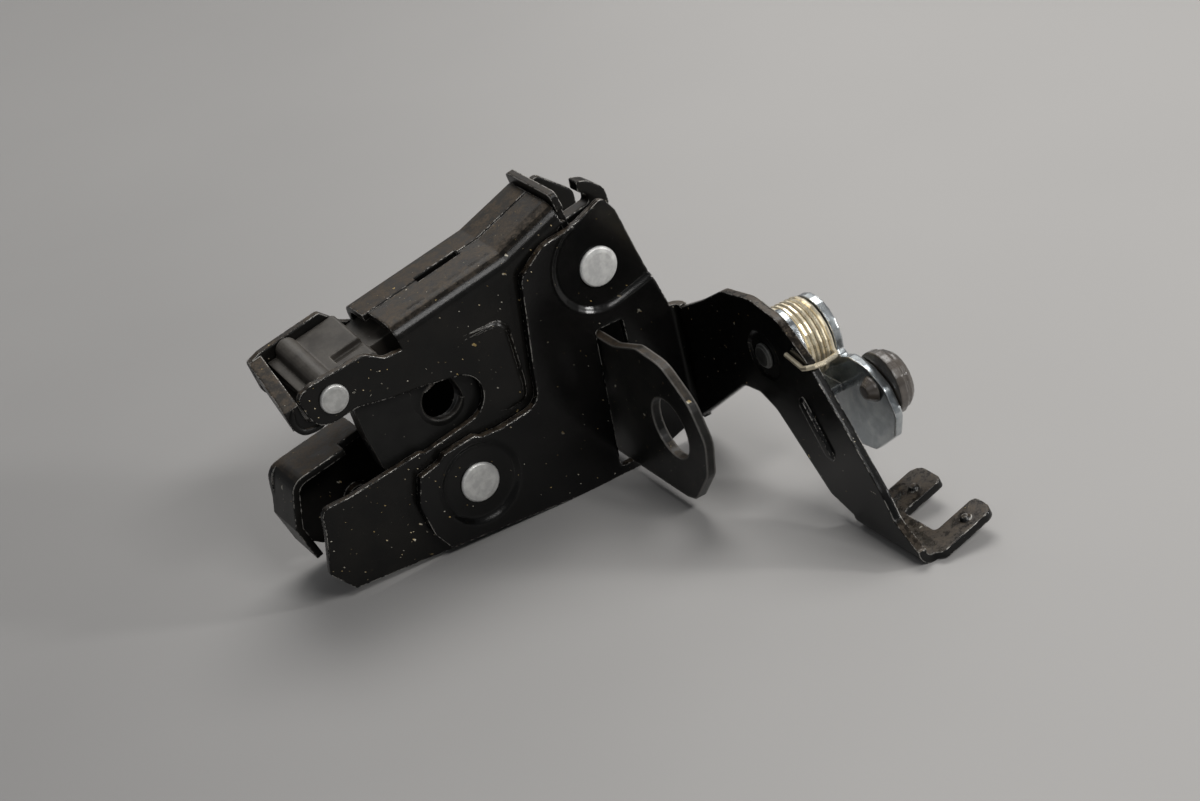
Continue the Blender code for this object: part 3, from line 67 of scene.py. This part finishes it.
class Paint:
    # one material: its Principled shader, and the nodes that feed it
    def __init__(self, name, **uniform):
        self.material = bpy.data.materials.new(name)
        self.material.use_nodes = True
        self.tree = self.material.node_tree
        self.shader = self.tree.nodes["Principled BSDF"]
        for key, value in uniform.items():
            self.shader.inputs[key.replace("_", " ")].default_value = value

    def node(self, kind, settings, sockets, out=0):
        made = self.tree.nodes.new(kind)
        for key, value in settings.items():
            setattr(made, key, value)
        for key, value in sockets.items():
            if isinstance(value, Field):
                self.tree.links.new(value.socket, made.inputs[key])
            else:
                made.inputs[key].default_value = value
        return Field(self, made.outputs[out])

    def feed(self, **fields):
        for key, value in fields.items():
            self.tree.links.new(value.socket, self.shader.inputs[key.replace("_", " ")])

    def place(self, turn=(0, 0, 0), stretch=(1, 1, 1)):  # the object's own place, in millimetres
        spot = self.node("ShaderNodeTexCoord", {}, {}, "Object")
        return self.node("ShaderNodeMapping", {"vector_type": "TEXTURE"},
                         {"Vector": spot, "Rotation": turn, "Scale": tuple(mm / s for s in stretch)})

    def along(self, direction, low, high):  # 0 to 1 on the way along a direction, in mm
        spot = self.place()
        return self.node("ShaderNodeVectorMath", {"operation": "DOT_PRODUCT"},
                         {0: spot, 1: direction}, "Value").ease(low, high)

    def cloud(self, size, seed, detail=2.0, rough=0.5, at=None):  # noise with lumps of a size in mm
        return self.node("ShaderNodeTexNoise", {"noise_dimensions": "4D"},
                         {"Vector": at or self.place(), "W": seed, "Scale": 1.0 / size,
                          "Detail": detail, "Roughness": rough})

    def blend(self, mask, low, high):  # two colours by a mask
        low, high = [c if isinstance(c, Field) else (*c, 1.0) for c in (low, high)]
        return self.node("ShaderNodeMix", {"data_type": "RGBA"}, {0: mask, 6: low, 7: high}, 2)

    def flecks(self, spacing, radius, share, seed, turn=fleckLook["turn"], stretch=(1, 1, 1)):
        # ragged specks of a radius, one in a share of the cells of a loose grid, in mm
        spot = self.place(turn, stretch)
        push = self.node("ShaderNodeTexNoise", {"noise_dimensions": "4D"},
                         {"Vector": spot, "W": seed, "Scale": fleckLook["lumps"] / radius,
                          "Detail": fleckLook["detail"]}, "Color")
        ragged = self.node("ShaderNodeVectorMath", {"operation": "MULTIPLY_ADD"},
                           {0: push, 1: (fleckLook["push"] * radius,) * 3, 2: spot})
        cells = {"Vector": ragged, "Scale": 1.0 / spacing}
        near = self.node("ShaderNodeTexVoronoi", {}, cells, "Distance")
        pick = self.node("ShaderNodeTexVoronoi", {}, cells, "Color")
        chosen = self.node("ShaderNodeSeparateColor", {}, {"Color": pick}, 0)
        reach = chosen.ease(1.0 - share, 1.0 - fleckLook["full"] * share) * (radius / spacing)
        return (reach - near).ease(0.0, fleckLook["fade"] * radius / spacing)

    def hairs(self, share, seed, width):  # fine straight scratches in three directions, width in mm
        stretch = (hairLook["squeeze"], 1.0, 1.0)
        first, second, third = [self.flecks(hairLook["spacing"], width, share, seed + k, turn, stretch)
                                for k, turn in enumerate(hairLook["turns"])]
        return first.larger(second).larger(third)

    def edges(self, look):  # rounded normals, and a mask that is 1 on sharp outer edges
        soft, near = [self.node("ShaderNodeBevel", {"samples": samples}, {"Radius": look[key] * mm})
                      for key, samples in bevelSamples.items()]
        plain = self.node("ShaderNodeNewGeometry", {}, {}, "Normal")
        match = self.node("ShaderNodeVectorMath", {"operation": "DOT_PRODUCT"}, {0: near, 1: plain}, "Value")
        return soft, 1.0 - match

    def upward(self):  # 1 where a face looks up
        plain = self.node("ShaderNodeNewGeometry", {}, {}, "Normal")
        return self.node("ShaderNodeSeparateXYZ", {}, {0: plain}, 2)

    def bump(self, height, depth, normal):  # depth in mm
        return self.node("ShaderNodeBump", {}, {"Distance": depth * mm, "Height": height, "Normal": normal})


# sizes in mm; roughBy and reliefBy say how much each layer counts, and marks and worn places are sunk
coatMix = {
    "peel": {"seed": 1.0, "detail": 3.0, "rough": 0.55},
    "patches": {"size": 9.0, "seed": 4.0, "detail": 3.0, "rough": 0.6},
    "grime": {"size": 2.4, "seed": 6.0, "detail": 4.0, "rough": 0.65},
    "grit": {"size": 0.55, "seed": 7.0, "detail": 3.0, "rough": 0.7},
    "swarm": {"size": 9.0, "seed": 12.0}, "tone": {"size": 1.3, "seed": 13.0},
    "speck": {"spacing": 0.95, "radius": 0.13, "seed": 1.3, "stretch": (0.5, 1.0, 1.0)}, "speckFloor": 0.15,
    "chip": {"spacing": 3.0, "radius": 0.40, "seed": 2.1, "stretch": (0.5, 1.0, 1.0)}, "chipFloor": 0.2,
    "hair": {"seed": 3.0, "width": 0.045},
    "fray": {"size": 0.9, "seed": 9.0, "detail": 3.0, "rough": 0.7},
    "broadFray": {"size": 5.0, "seed": 11.0}, "broadShare": 0.7, "frayBand": (0.93, 1.03), "wearBand": 0.07,
    "dustFloor": 0.15, "gritFloor": 0.25, "dustTilt": (0.66, 0.93),
    "roughBy": {"grime": 0.16, "dust": 0.34, "marks": 0.10, "worn": 0.08},
    "reliefBy": {"grime": 0.5, "dust": 2.5, "marks": 0.7, "worn": 0.4}, "wornMetal": 0.45,
}


def coatedSheet(name, look):
    # black dip coating on steel: orange peel, ragged specks, fine scratches, brown dust and worn edges
    paint, mix = Paint(name, Specular_IOR_Level=look["gloss"]), coatMix
    soft, edge = paint.edges(look)
    peel = paint.cloud(look["peelSize"], **mix["peel"])
    patches, grime, grit = [paint.cloud(**mix[layer]) for layer in ("patches", "grime", "grit")]

    swarm = paint.cloud(**mix["swarm"]).ease(0.42, 0.60)  # the specks gather in swarms
    specks = paint.flecks(share=look["specks"], **mix["speck"]) * swarm.lift(mix["speckFloor"])
    chips = paint.flecks(share=look["chips"], **mix["chip"]) * swarm.lift(mix["chipFloor"])
    hairs = paint.hairs(look["scratches"], **mix["hair"])
    marks = specks.larger(chips).larger(look["scratchStrength"] * hairs)

    fray = paint.cloud(**mix["fray"]) + mix["broadShare"] * paint.cloud(**mix["broadFray"])
    frayLow, frayHigh = [limit - look["wear"] for limit in mix["frayBand"]]
    worn = edge.ease(look["wearFrom"], look["wearFrom"] + mix["wearBand"]) * fray.ease(frayLow, frayHigh)

    mottle = (grime.ease(0.38, 0.60) * grit.ease(0.38, 0.58).lift(mix["gritFloor"])).lift(mix["dustFloor"])
    dusty = paint.upward().ease(*mix["dustTilt"]) * mottle * look["dust"]

    colour = paint.blend(patches.ease(0.35, 0.7), look["colour"], look["patch"])
    colour = paint.blend(dusty, colour, look["dustColour"])
    tone = paint.blend(paint.cloud(**mix["tone"]).ease(0.42, 0.58), look["goldMark"], look["paleMark"])
    colour = paint.blend(marks, colour, tone)
    colour = paint.blend(worn, colour, look["steel"])

    add, by = mix["roughBy"], mix["reliefBy"]
    rough = (look["rough"] + add["grime"] * (grime - 0.5) + add["dust"] * dusty
             + add["marks"] * marks + add["worn"] * worn)
    relief = peel + by["grime"] * grime + by["dust"] * grit * dusty - by["marks"] * marks - by["worn"] * worn
    paint.feed(Base_Color=colour, Roughness=rough, Metallic=mix["wornMetal"] * worn,
               Normal=paint.bump(relief, look["peelDepth"], soft))
    return paint.material


zincMix = {
    "bloom": {"seed": 2.0, "detail": 4.0, "rough": 0.6},
    "fine": {"size": 0.35, "seed": 5.0, "detail": 3.0, "rough": 0.6},
    "stain": {"size": 3.4, "seed": 8.0, "detail": 3.0, "rough": 0.65}, "stainMetal": 0.2,
    "hair": {"seed": 2.0, "width": 0.06}, "hairShow": 0.7, "rimBand": (0.02, 0.08),
    "roughBy": {"bloom": 0.14, "spangle": 0.08, "stain": 0.12},
    "reliefBy": {"spangle": 0.5, "fine": 0.6, "bloom": 0.4, "hairs": 0.6},
}


def platedSteel(name, look):
    # zinc on steel: bright, with a milky bloom, faint stains, small dents and a rubbed rim
    paint, mix = Paint(name), zincMix
    soft, edge = paint.edges(look)
    spangle = paint.node("ShaderNodeTexVoronoi", {}, {"Vector": paint.place(), "Scale": 1.0 / look["grain"]},
                         "Distance")
    bloom = paint.cloud(look["bloomSize"], **mix["bloom"])
    fine = paint.cloud(**mix["fine"])
    hairs = paint.hairs(look["scratches"], **mix["hair"])
    stain = paint.cloud(**mix["stain"]).ease(0.54, 0.76) * look["stained"]

    colour = paint.blend(bloom.ease(0.36, 0.66), look["colour"], look["pale"])
    colour = paint.blend(stain, colour, look["stain"])
    colour = paint.blend((mix["hairShow"] * hairs).larger(edge.ease(*mix["rimBand"])), colour, look["rim"])

    add, by = mix["roughBy"], mix["reliefBy"]
    rough = (look["rough"] + add["bloom"] * (bloom - 0.5) + add["spangle"] * (spangle - 0.4)
             + add["stain"] * stain)
    relief = by["spangle"] * spangle + by["fine"] * fine + by["bloom"] * bloom - by["hairs"] * hairs
    paint.feed(Base_Color=colour, Roughness=rough, Metallic=look["metal"] - mix["stainMetal"] * stain,
               Normal=paint.bump(relief, look["dents"], soft))
    return paint.material


wireMix = {
    "tint": {"size": 1.6, "seed": 3.0, "detail": 3.0, "rough": 0.6}, "tintRelief": 0.5,
    "draw": {"size": 0.22, "seed": 4.0}, "drawStretch": (1.0, 0.35, 0.35), "drawRough": 0.2,
    "darkShow": 0.3, "depth": 0.015,
}


def drawnWire(name, look):
    # spring wire: fine draw lines round the strand, straw tint and darker streaks along some draw lines
    paint, mix = Paint(name, Metallic=look["metal"]), wireMix
    tint = paint.cloud(**mix["tint"])
    draw = paint.cloud(at=paint.place(stretch=mix["drawStretch"]), **mix["draw"])
    plain = paint.node("ShaderNodeNewGeometry", {}, {}, "Normal")
    colour = paint.blend(tint.ease(0.36, 0.66), look["colour"], look["straw"])
    colour = paint.blend(mix["darkShow"] * draw.ease(0.55, 0.7), colour, look["dark"])
    paint.feed(Base_Color=colour, Roughness=look["rough"] + mix["drawRough"] * (draw - 0.5),
               Normal=paint.bump(draw + mix["tintRelief"] * tint, mix["depth"], plain))
    return paint.material


plasticMix = {
    "grain": {"seed": 1.0, "detail": 3.0, "rough": 0.6},
    "flow": {"size": 6.0, "seed": 5.0, "detail": 3.0, "rough": 0.6},
    "grit": {"size": 0.7, "seed": 7.0, "detail": 3.0, "rough": 0.7}, "gritFloor": 0.4,
    "hair": {"seed": 5.0, "width": 0.06}, "nick": {"spacing": 1.6, "radius": 0.16, "seed": 6.0},
    "rubGrain": 0.06, "rubBand": (0.05, 0.20), "dustTilt": (0.1, 0.9), "scuffShow": 0.6,
    "roughBy": {"grain": 0.12, "flow": 0.12, "dust": 0.2}, "reliefBy": {"flow": 0.5, "scuff": 0.5},
}


def moulding(name, look):
    # moulded black plastic: fine spark grain, soft dirt and scuffed edges
    paint, mix = Paint(name, Specular_IOR_Level=look["gloss"]), plasticMix
    soft, edge = paint.edges(look)
    grain = paint.cloud(look["grain"], **mix["grain"])
    flow, grit = [paint.cloud(**mix[layer]) for layer in ("flow", "grit")]
    nicks = paint.flecks(share=look["scuffs"], **mix["nick"])
    scuff = paint.hairs(look["scuffs"], **mix["hair"]).larger(nicks)
    rubbed = (edge + mix["rubGrain"] * grain).ease(*mix["rubBand"]) * look["rub"] * grit.ease(0.3, 0.6)
    dusty = (paint.upward().ease(*mix["dustTilt"]) * flow.ease(0.3, 0.65)
             * grit.ease(0.35, 0.6).lift(mix["gritFloor"]) * look["dust"])

    colour = paint.blend(flow.ease(0.3, 0.7), look["colour"], look["patch"])
    colour = paint.blend(dusty, colour, look["dustColour"])
    colour = paint.blend((mix["scuffShow"] * scuff).larger(rubbed), colour, look["scuffColour"])

    add, by = mix["roughBy"], mix["reliefBy"]
    rough = look["rough"] + add["grain"] * (grain - 0.5) + add["flow"] * (flow - 0.5) + add["dust"] * dusty
    paint.feed(Base_Color=colour, Roughness=rough,
               Normal=paint.bump(grain + by["flow"] * flow - by["scuff"] * scuff, look["depth"], soft))
    return paint.material


def wear(node, material):
    # put a material on a carried-over piece
    thing = nodes[node]
    for slot in thing.material_slots:
        slot.material = material
    if not thing.material_slots:
        thing.data.materials.append(material)


blackCoat = {
    "colour": (0.0030, 0.0029, 0.0026), "patch": (0.0062, 0.0056, 0.0047), "gloss": 0.24, "rough": 0.25,
    "peelSize": 0.6, "peelDepth": 0.010, "edgeRound": 0.42, "softRound": 0.9,
    "specks": 0.30, "chips": 0.20, "scratches": 0.20, "scratchStrength": 0.7,
    "goldMark": (0.46, 0.33, 0.13), "paleMark": (0.60, 0.57, 0.48),
    "wear": 0.08, "wearFrom": 0.035, "steel": (0.60, 0.58, 0.54),
    "dust": 0.85, "dustColour": (0.085, 0.064, 0.044),
}

bracketLook = {**blackCoat, "colour": (0.0026, 0.0026, 0.0025), "patch": (0.0046, 0.0044, 0.0041),
               "gloss": 0.27, "rough": 0.19, "peelSize": 0.9, "peelDepth": 0.008,
               "specks": 0.24, "chips": 0.16, "wear": 0.11}
wear("bracket_plate", coatedSheet("bracketCoat", bracketLook))

coverLook = {**blackCoat, "specks": 0.62, "chips": 0.30, "scratches": 0.28, "wear": 0.10}
wear("front_cover", coatedSheet("coverCoat", coverLook))

backLook = {**blackCoat, "specks": 0.34, "chips": 0.24, "rough": 0.38, "wear": 0.12}
backCoat = coatedSheet("backCoat", backLook)
wear("back_plate", backCoat)

bladeLook = {**blackCoat, "rough": 0.30, "wear": 0.16, "dust": 0.5}
wear("end_blade", coatedSheet("bladeCoat", bladeLook))

clawLook = {**blackCoat, "specks": 0.2, "chips": 0.1, "rough": 0.36, "dust": 0.3, "wear": 0.04}
wear("claw", coatedSheet("clawCoat", clawLook))

pawlLook = {**blackCoat, "specks": 0.2, "chips": 0.1, "rough": 0.38, "dust": 0.5, "wear": 0.16}
wear("pawl", coatedSheet("pawlCoat", pawlLook))

tabLook = {**blackCoat, "colour": (0.0085, 0.0085, 0.0082), "patch": (0.020, 0.019, 0.017), "rough": 0.34,
           "peelSize": 0.45, "peelDepth": 0.016, "wear": 0.36, "wearFrom": 0.012, "edgeRound": 0.85,
           "steel": (0.26, 0.25, 0.235)}
wear("release_lever", coatedSheet("tabCoat", tabLook))

rivetLook = {"colour": (0.46, 0.46, 0.45), "pale": (0.60, 0.60, 0.58), "stain": (0.36, 0.35, 0.32),
             "rim": (0.88, 0.88, 0.86), "metal": 0.55, "rough": 0.40, "grain": 0.6, "bloomSize": 1.8,
             "dents": 0.025, "scratches": 0.25, "stained": 0.35, "edgeRound": 0.45, "softRound": 0.45}
# painted light: all rivets are the same zinc; the claw, pawl and jaw copies are made lighter or darker to
# stand in for the light on each, the claw's a little lighter
clawRivetLitLook = {**rivetLook, "colour": (0.53, 0.53, 0.52), "pale": (0.68, 0.68, 0.66)}
wear("claw_rivet", platedSteel("clawRivetZinc", clawRivetLitLook))

# painted highlight: the pawl rivet's zinc is the palest and less metallic, standing in for the stronger light
# on it
pawlRivetLitLook = {**rivetLook, "colour": (0.58, 0.58, 0.57), "pale": (0.72, 0.72, 0.70), "metal": 0.4}
wear("pawl_rivet", platedSteel("pawlRivetZinc", pawlRivetLitLook))

# painted shade: the jaw rivet's zinc is darker, standing in for the weaker light on it
jawRivetShadedLook = {**rivetLook, "colour": (0.38, 0.38, 0.37), "pale": (0.50, 0.50, 0.485)}
wear("jaw_rivet", platedSteel("jawRivetZinc", jawRivetShadedLook))

bushLook = {**rivetLook, "rough": 0.34, "dents": 0.02, "colour": (0.36, 0.36, 0.35), "metal": 0.8}
for bush in ("claw", "pawl", "jaw"):
    wear(bush + "_bush", platedSteel(bush + "BushSteel", bushLook))

leverLook = {"colour": (0.32, 0.35, 0.37), "pale": (0.52, 0.55, 0.56), "stain": (0.22, 0.24, 0.26),
             "rim": (0.92, 0.93, 0.93), "metal": 0.9, "rough": 0.22, "grain": 1.4, "bloomSize": 5.0,
             "dents": 0.008, "scratches": 0.2, "stained": 0.3, "edgeRound": 0.5, "softRound": 0.7}
wear("cable_lever", platedSteel("leverZinc", leverLook))

pinLook = {**leverLook, "colour": (0.035, 0.035, 0.034), "pale": (0.075, 0.075, 0.07),
           "rim": (0.25, 0.25, 0.24), "metal": 0.5, "rough": 0.36, "dents": 0.02}
wear("lever_pin", platedSteel("pinZinc", pinLook))

coilLook = {"colour": (0.72, 0.63, 0.46), "straw": (0.90, 0.81, 0.62), "dark": (0.38, 0.31, 0.20),
            "rough": 0.30, "metal": 0.7}
for spring in ("lever", "claw", "pawl"):
    wear(spring + "_spring", drawnWire(spring + "Wire", coilLook))

clipLook = {"colour": (0.035, 0.030, 0.026), "patch": (0.090, 0.076, 0.064), "gloss": 0.9, "rough": 0.18,
            "grain": 0.6, "depth": 0.02, "edgeRound": 0.5, "softRound": 0.8, "scuffs": 0.2, "rub": 0.5,
            "dust": 0.6, "dustColour": (0.10, 0.088, 0.078), "scuffColour": (0.26, 0.24, 0.21)}
wear("cable_clip", moulding("clipPlastic", clipLook))

blockLook = {**clipLook, "colour": (0.030, 0.026, 0.022), "patch": (0.050, 0.044, 0.038), "rough": 0.44,
             "gloss": 0.35, "dust": 0.75, "dustColour": (0.085, 0.078, 0.068)}
blockPlastic = moulding("blockPlastic", blockLook)
wear("jaw_block", blockPlastic)

jacketLook = {**clipLook, "colour": (0.0040, 0.0040, 0.0038), "patch": (0.0075, 0.0075, 0.007),
              "rough": 0.34, "gloss": 0.22, "dust": 0.3, "rub": 0.3}
jacketPlastic = moulding("jacketPlastic", jacketLook)
wear("claw_jacket", jacketPlastic)

bufferLook = {**clipLook, "colour": (0.010, 0.010, 0.010), "patch": (0.016, 0.016, 0.016), "rough": 0.72,
              "gloss": 0.2, "grain": 0.3, "depth": 0.05}
wear("striker_buffer", moulding("bufferRubber", bufferLook))
print("carried-over pieces painted")


latchPlace = {"origin": (-19.387, 31.65, 15.5), "tilt": 10.5, "sharpAngle": 40}


def spot(along, across, deep):
    # a place in the housing: along the mouth, across it and behind the front, in millimetres
    tilt = math.radians(latchPlace["tilt"])
    x = along * math.cos(tilt) - across * math.sin(tilt)
    z = along * math.sin(tilt) + across * math.cos(tilt)
    return (Vector((x, deep, z)) + Vector(latchPlace["origin"])) * mm


def shell(name, rings, material, body):
    # a closed skin over a row of rings of places, with both ends shut
    sides, last = len(rings[0]), len(rings) - 1
    faces = []
    for near in range(0, last * sides, sides):
        far = near + sides
        for j in range(sides):
            after = (j + 1) % sides
            faces.append((near + j, near + after, far + after, far + j))
    faces += [tuple(reversed(range(sides))), tuple(last * sides + j for j in range(sides))]

    mesh = bpy.data.meshes.new(name)
    mesh.from_pydata([spot(*place) for ring in rings for place in ring], [], faces)
    work = bmesh.new()
    work.from_mesh(mesh)
    bmesh.ops.recalc_face_normals(work, faces=work.faces)
    work.to_mesh(mesh)
    work.free()
    mesh.shade_smooth()
    mesh.set_sharp_from_angle(angle=math.radians(latchPlace["sharpAngle"]))
    mesh.materials.append(material)

    thing = bpy.data.objects.new(name, mesh)
    bpy.context.collection.objects.link(thing)
    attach(thing, body)


def curved(points, steps):
    # a smooth line through points
    padded = [2 * points[0] - points[1], *points, 2 * points[-1] - points[-2]]
    line = []
    for a, b, c, d in zip(padded, padded[1:], padded[2:], padded[3:]):
        for k in range(steps):
            t = k / steps
            line.append(0.5 * (2 * b + (c - a) * t + (2 * a - 5 * b + 4 * c - d) * t ** 2
                               + (3 * b - a - 3 * c + d) * t ** 3))
    return line + [points[-1]]


collarLook = {"centre": (1.9, 22.4), "inner": 4.9, "front": 4.6, "face": 5.04, "back": 6.15, "steps": 44,
              # the crown of the rim: how far out from the notch, and how far behind its front
              "crown": [(0.12, 0.2), (0.4, 0.0), (0.75, 0.06), (1.1, 0.28)], "rise": 0.1,
              # how far the collar reaches over the skin at each angle, down the left side of the notch
              "reach": [(-30, 6.2), (-60, 6.9), (-90, 7.1), (-120, 7.0), (-150, 6.6), (-180, 6.5),
                        (-210, 8.2), (-235, 9.3), (-256, 9.0)]}


def notchCollar():
    # raised round rim of the claw's notch, which hooks over the striker's place on the left
    look = collarLook
    inner, front, face, back = look["inner"], look["front"], look["face"], look["back"]
    (x, z), reach, steps = look["centre"], look["reach"], look["steps"]
    first, last = reach[0][0], reach[-1][0]
    crown = [(inner + out, front + behind) for out, behind in look["crown"]]
    rings = []
    for k in range(steps + 1):
        angle = first + (last - first) * k / steps
        for (a, low), (b, high) in zip(reach, reach[1:]):
            if b <= angle <= a:
                outer = low + (high - low) * (a - angle) / (a - b)
        turn = math.radians(angle)
        section = [(inner, back), (inner, face + look["rise"]), *crown, (outer, face), (outer, back)]
        rings.append([(x + r * math.cos(turn), z + r * math.sin(turn), y) for r, y in section])
    shell("notchCollar", rings, jacketPlastic, "claw")


notchCollar()

curlLook = {"path": [(-30.2, 42.6), (-31.2, 40.6), (-31.25, 38.2), (-30.3, 36.4), (-28.6, 35.6),
                     (-26.6, 35.3), (-25.3, 35.5)],
            "thick": 0.85, "front": 3.7, "back": 7.0, "round": 0.8, "steps": 6,
            # how full the first and the last ring are, and how much fuller each next one is
            "start": (0.25, 0.2), "end": (0.4, 0.3),
            # the round of a corner: steps inwards and back from the edge
            "corner": [(0.0, 1.0), (0.1, 0.45), (0.45, 0.1), (1.0, 0.0)]}


def strapCurl():
    # the rounded end of the jaw's strap, wrapped under the front sheet
    look = curlLook
    line = curved([Vector(p) for p in look["path"]], look["steps"])
    last = len(line) - 1
    rings = []
    for k, middle in enumerate(line):
        ahead = (line[min(k + 1, last)] - line[max(k - 1, 0)]).normalized()
        out = Vector((-ahead.y, ahead.x))
        grow = min(1.0, look["start"][0] + look["start"][1] * k, look["end"][0] + look["end"][1] * (last - k))
        thick, soft = look["thick"] * grow, look["round"] * grow
        section = []
        for side, edge in ((-1, look["front"]), (1, look["front"]), (1, look["back"]), (-1, look["back"])):
            inward = 1 if edge == look["front"] else -1
            corner = [(side * (thick - a * soft), edge + inward * b * soft) for a, b in look["corner"]]
            section += corner if (side == -1) == (inward == 1) else corner[::-1]
        rings.append([(*(middle + out * s), y) for s, y in section])
    shell("strapCurl", rings, backCoat, "housing")


strapCurl()

# each end: depth, left, right, low and high
pocketLook = {"ends": [(4.4, -28.9, -25.0, 36.9, 38.6), (14.0, -27.9, -24.6, 37.7, 39.5),
                       (25.0, -26.8, -24.2, 38.5, 41.0)],
              "lip": 0.35}


def jawPocket():
    # floor of the pit between the jaw's strap and the filler
    rings, lip = [], pocketLook["lip"]
    for deep, left, right, low, high in pocketLook["ends"]:
        outline = [(left, low), (right, low), (right, high - lip), (right - lip, high),
                   (0.5 * (left + right), high - lip), (left + lip, high), (left, high - lip)]
        rings.append([(*place, deep) for place in outline])
    shell("jawPocket", rings, blockPlastic, "housing")


jawPocket()
print("small mouldings made")


stageLook = {"bright": (0.436, 0.427, 0.418), "dim": (0.283, 0.278, 0.275), "size": 3.0,
             "rough": 0.55, "gloss": 0.25,
             # painted light: the sheet's colour brightens to the right and towards the far side, standing in
             # for the lamps' light falling off across it
             "across": {"direction": (0.86, -0.51, 0.0), "low": -160.0, "high": 90.0}, "acrossShare": 0.6,
             "away": {"direction": (0.79, 0.61, 0.0), "low": -150.0, "high": 330.0}, "awayShare": 0.4,
             "paintedFloorLight": {"size": 80.0, "seed": 2.0}, "paintedFloorLightShare": 0.16}


def tabletop():
    # the plain sheet that the latch stands on, with painted light falloff in its colour
    look, half = stageLook, stageLook["size"] / 2
    mesh = bpy.data.meshes.new("tabletop")
    mesh.from_pydata([(-half, -half, 0), (half, -half, 0), (half, half, 0), (-half, half, 0)], [],
                     [(0, 1, 2, 3)])
    thing = bpy.data.objects.new("tabletop", mesh)
    bpy.context.collection.objects.link(thing)
    paint = Paint("tabletopSheet", Roughness=look["rough"], Specular_IOR_Level=look["gloss"])
    # painted light falloff: the colour runs from dim to bright along the two ramps, plus a broad random
    # mottle, in place of uneven lamp light
    paintedFloorLight = (look["acrossShare"] * paint.along(**look["across"])
            + look["awayShare"] * paint.along(**look["away"])
            + look["paintedFloorLightShare"] * paint.cloud(**look["paintedFloorLight"]) - look["paintedFloorLightShare"] / 2)
    paint.feed(Base_Color=paint.blend(paintedFloorLight, look["dim"], look["bright"]))
    thing.data.materials.append(paint.material)


tabletop()


lampAim = (0, 0, 0.03)
lampLook = {  # place, size, power and colour
    "overhead": ((0.36, 0.42, 1.02), (0.7, 0.55), 7.6, (1.0, 0.985, 0.96)),
    "backSoft": ((0.45, 1.25, 0.75), (1.1, 0.6), 1.9, (1.0, 0.985, 0.965)),
    "frontSoft": ((0.18, -0.82, 0.84), (0.50, 0.17), 5.4, (1.0, 0.99, 0.975)),
    "glint": ((0.84, -0.66, 0.38), (0.12, 0.12), 4.6, (1.0, 0.99, 0.975)),  # lights the pressed seats' rims
    "leftFill": ((-1.2, -0.5, 0.9), (0.7, 0.7), 0.8, (0.97, 0.985, 1.0)),
}


def lamp(name, place, size, power, colour):
    light = bpy.data.lights.new(name, "AREA")
    light.shape, light.size, light.size_y = "RECTANGLE", size[0], size[1]
    light.energy, light.color = power, colour
    thing = bpy.data.objects.new(name, light)
    thing.location = place
    thing.rotation_euler = (Vector(place) - Vector(lampAim)).to_track_quat("Z", "Y").to_euler()
    bpy.context.collection.objects.link(thing)


for name, look in lampLook.items():
    lamp(name, *look)

roomLook = {"colour": (0.95, 0.97, 1.0, 1.0), "strength": 0.14}
world = bpy.data.worlds.new("studio")
world.use_nodes = True
glow = world.node_tree.nodes["Background"]
glow.inputs["Color"].default_value = roomLook["colour"]
glow.inputs["Strength"].default_value = roomLook["strength"]
bpy.context.scene.world = world
bpy.context.scene.view_settings.view_transform = "Standard"
print("stage and lamps set")


cameraLook = {"place": (-0.206925, -0.470504, 0.315246), "up": (0.408933, 0.318950, 0.855012),
              "back": (-0.356941, -0.806384, 0.471527), "lens": 78.0, "sensor": 36.0,
              "near": 0.01, "far": 10.0}


def photographer():
    # the camera at the photograph's place
    look = cameraLook
    camera = bpy.data.cameras.new("camera")
    camera.sensor_width, camera.lens = look["sensor"], look["lens"]
    camera.clip_start, camera.clip_end = look["near"], look["far"]
    thing = bpy.data.objects.new("camera", camera)
    back = Vector(look["back"]).normalized()
    right = Vector(look["up"]).cross(back).normalized()
    up = back.cross(right)
    thing.matrix_world = Matrix.Translation(look["place"]) @ Matrix((right, up, back)).transposed().to_4x4()
    bpy.context.collection.objects.link(thing)
    bpy.context.scene.camera = thing


photographer()
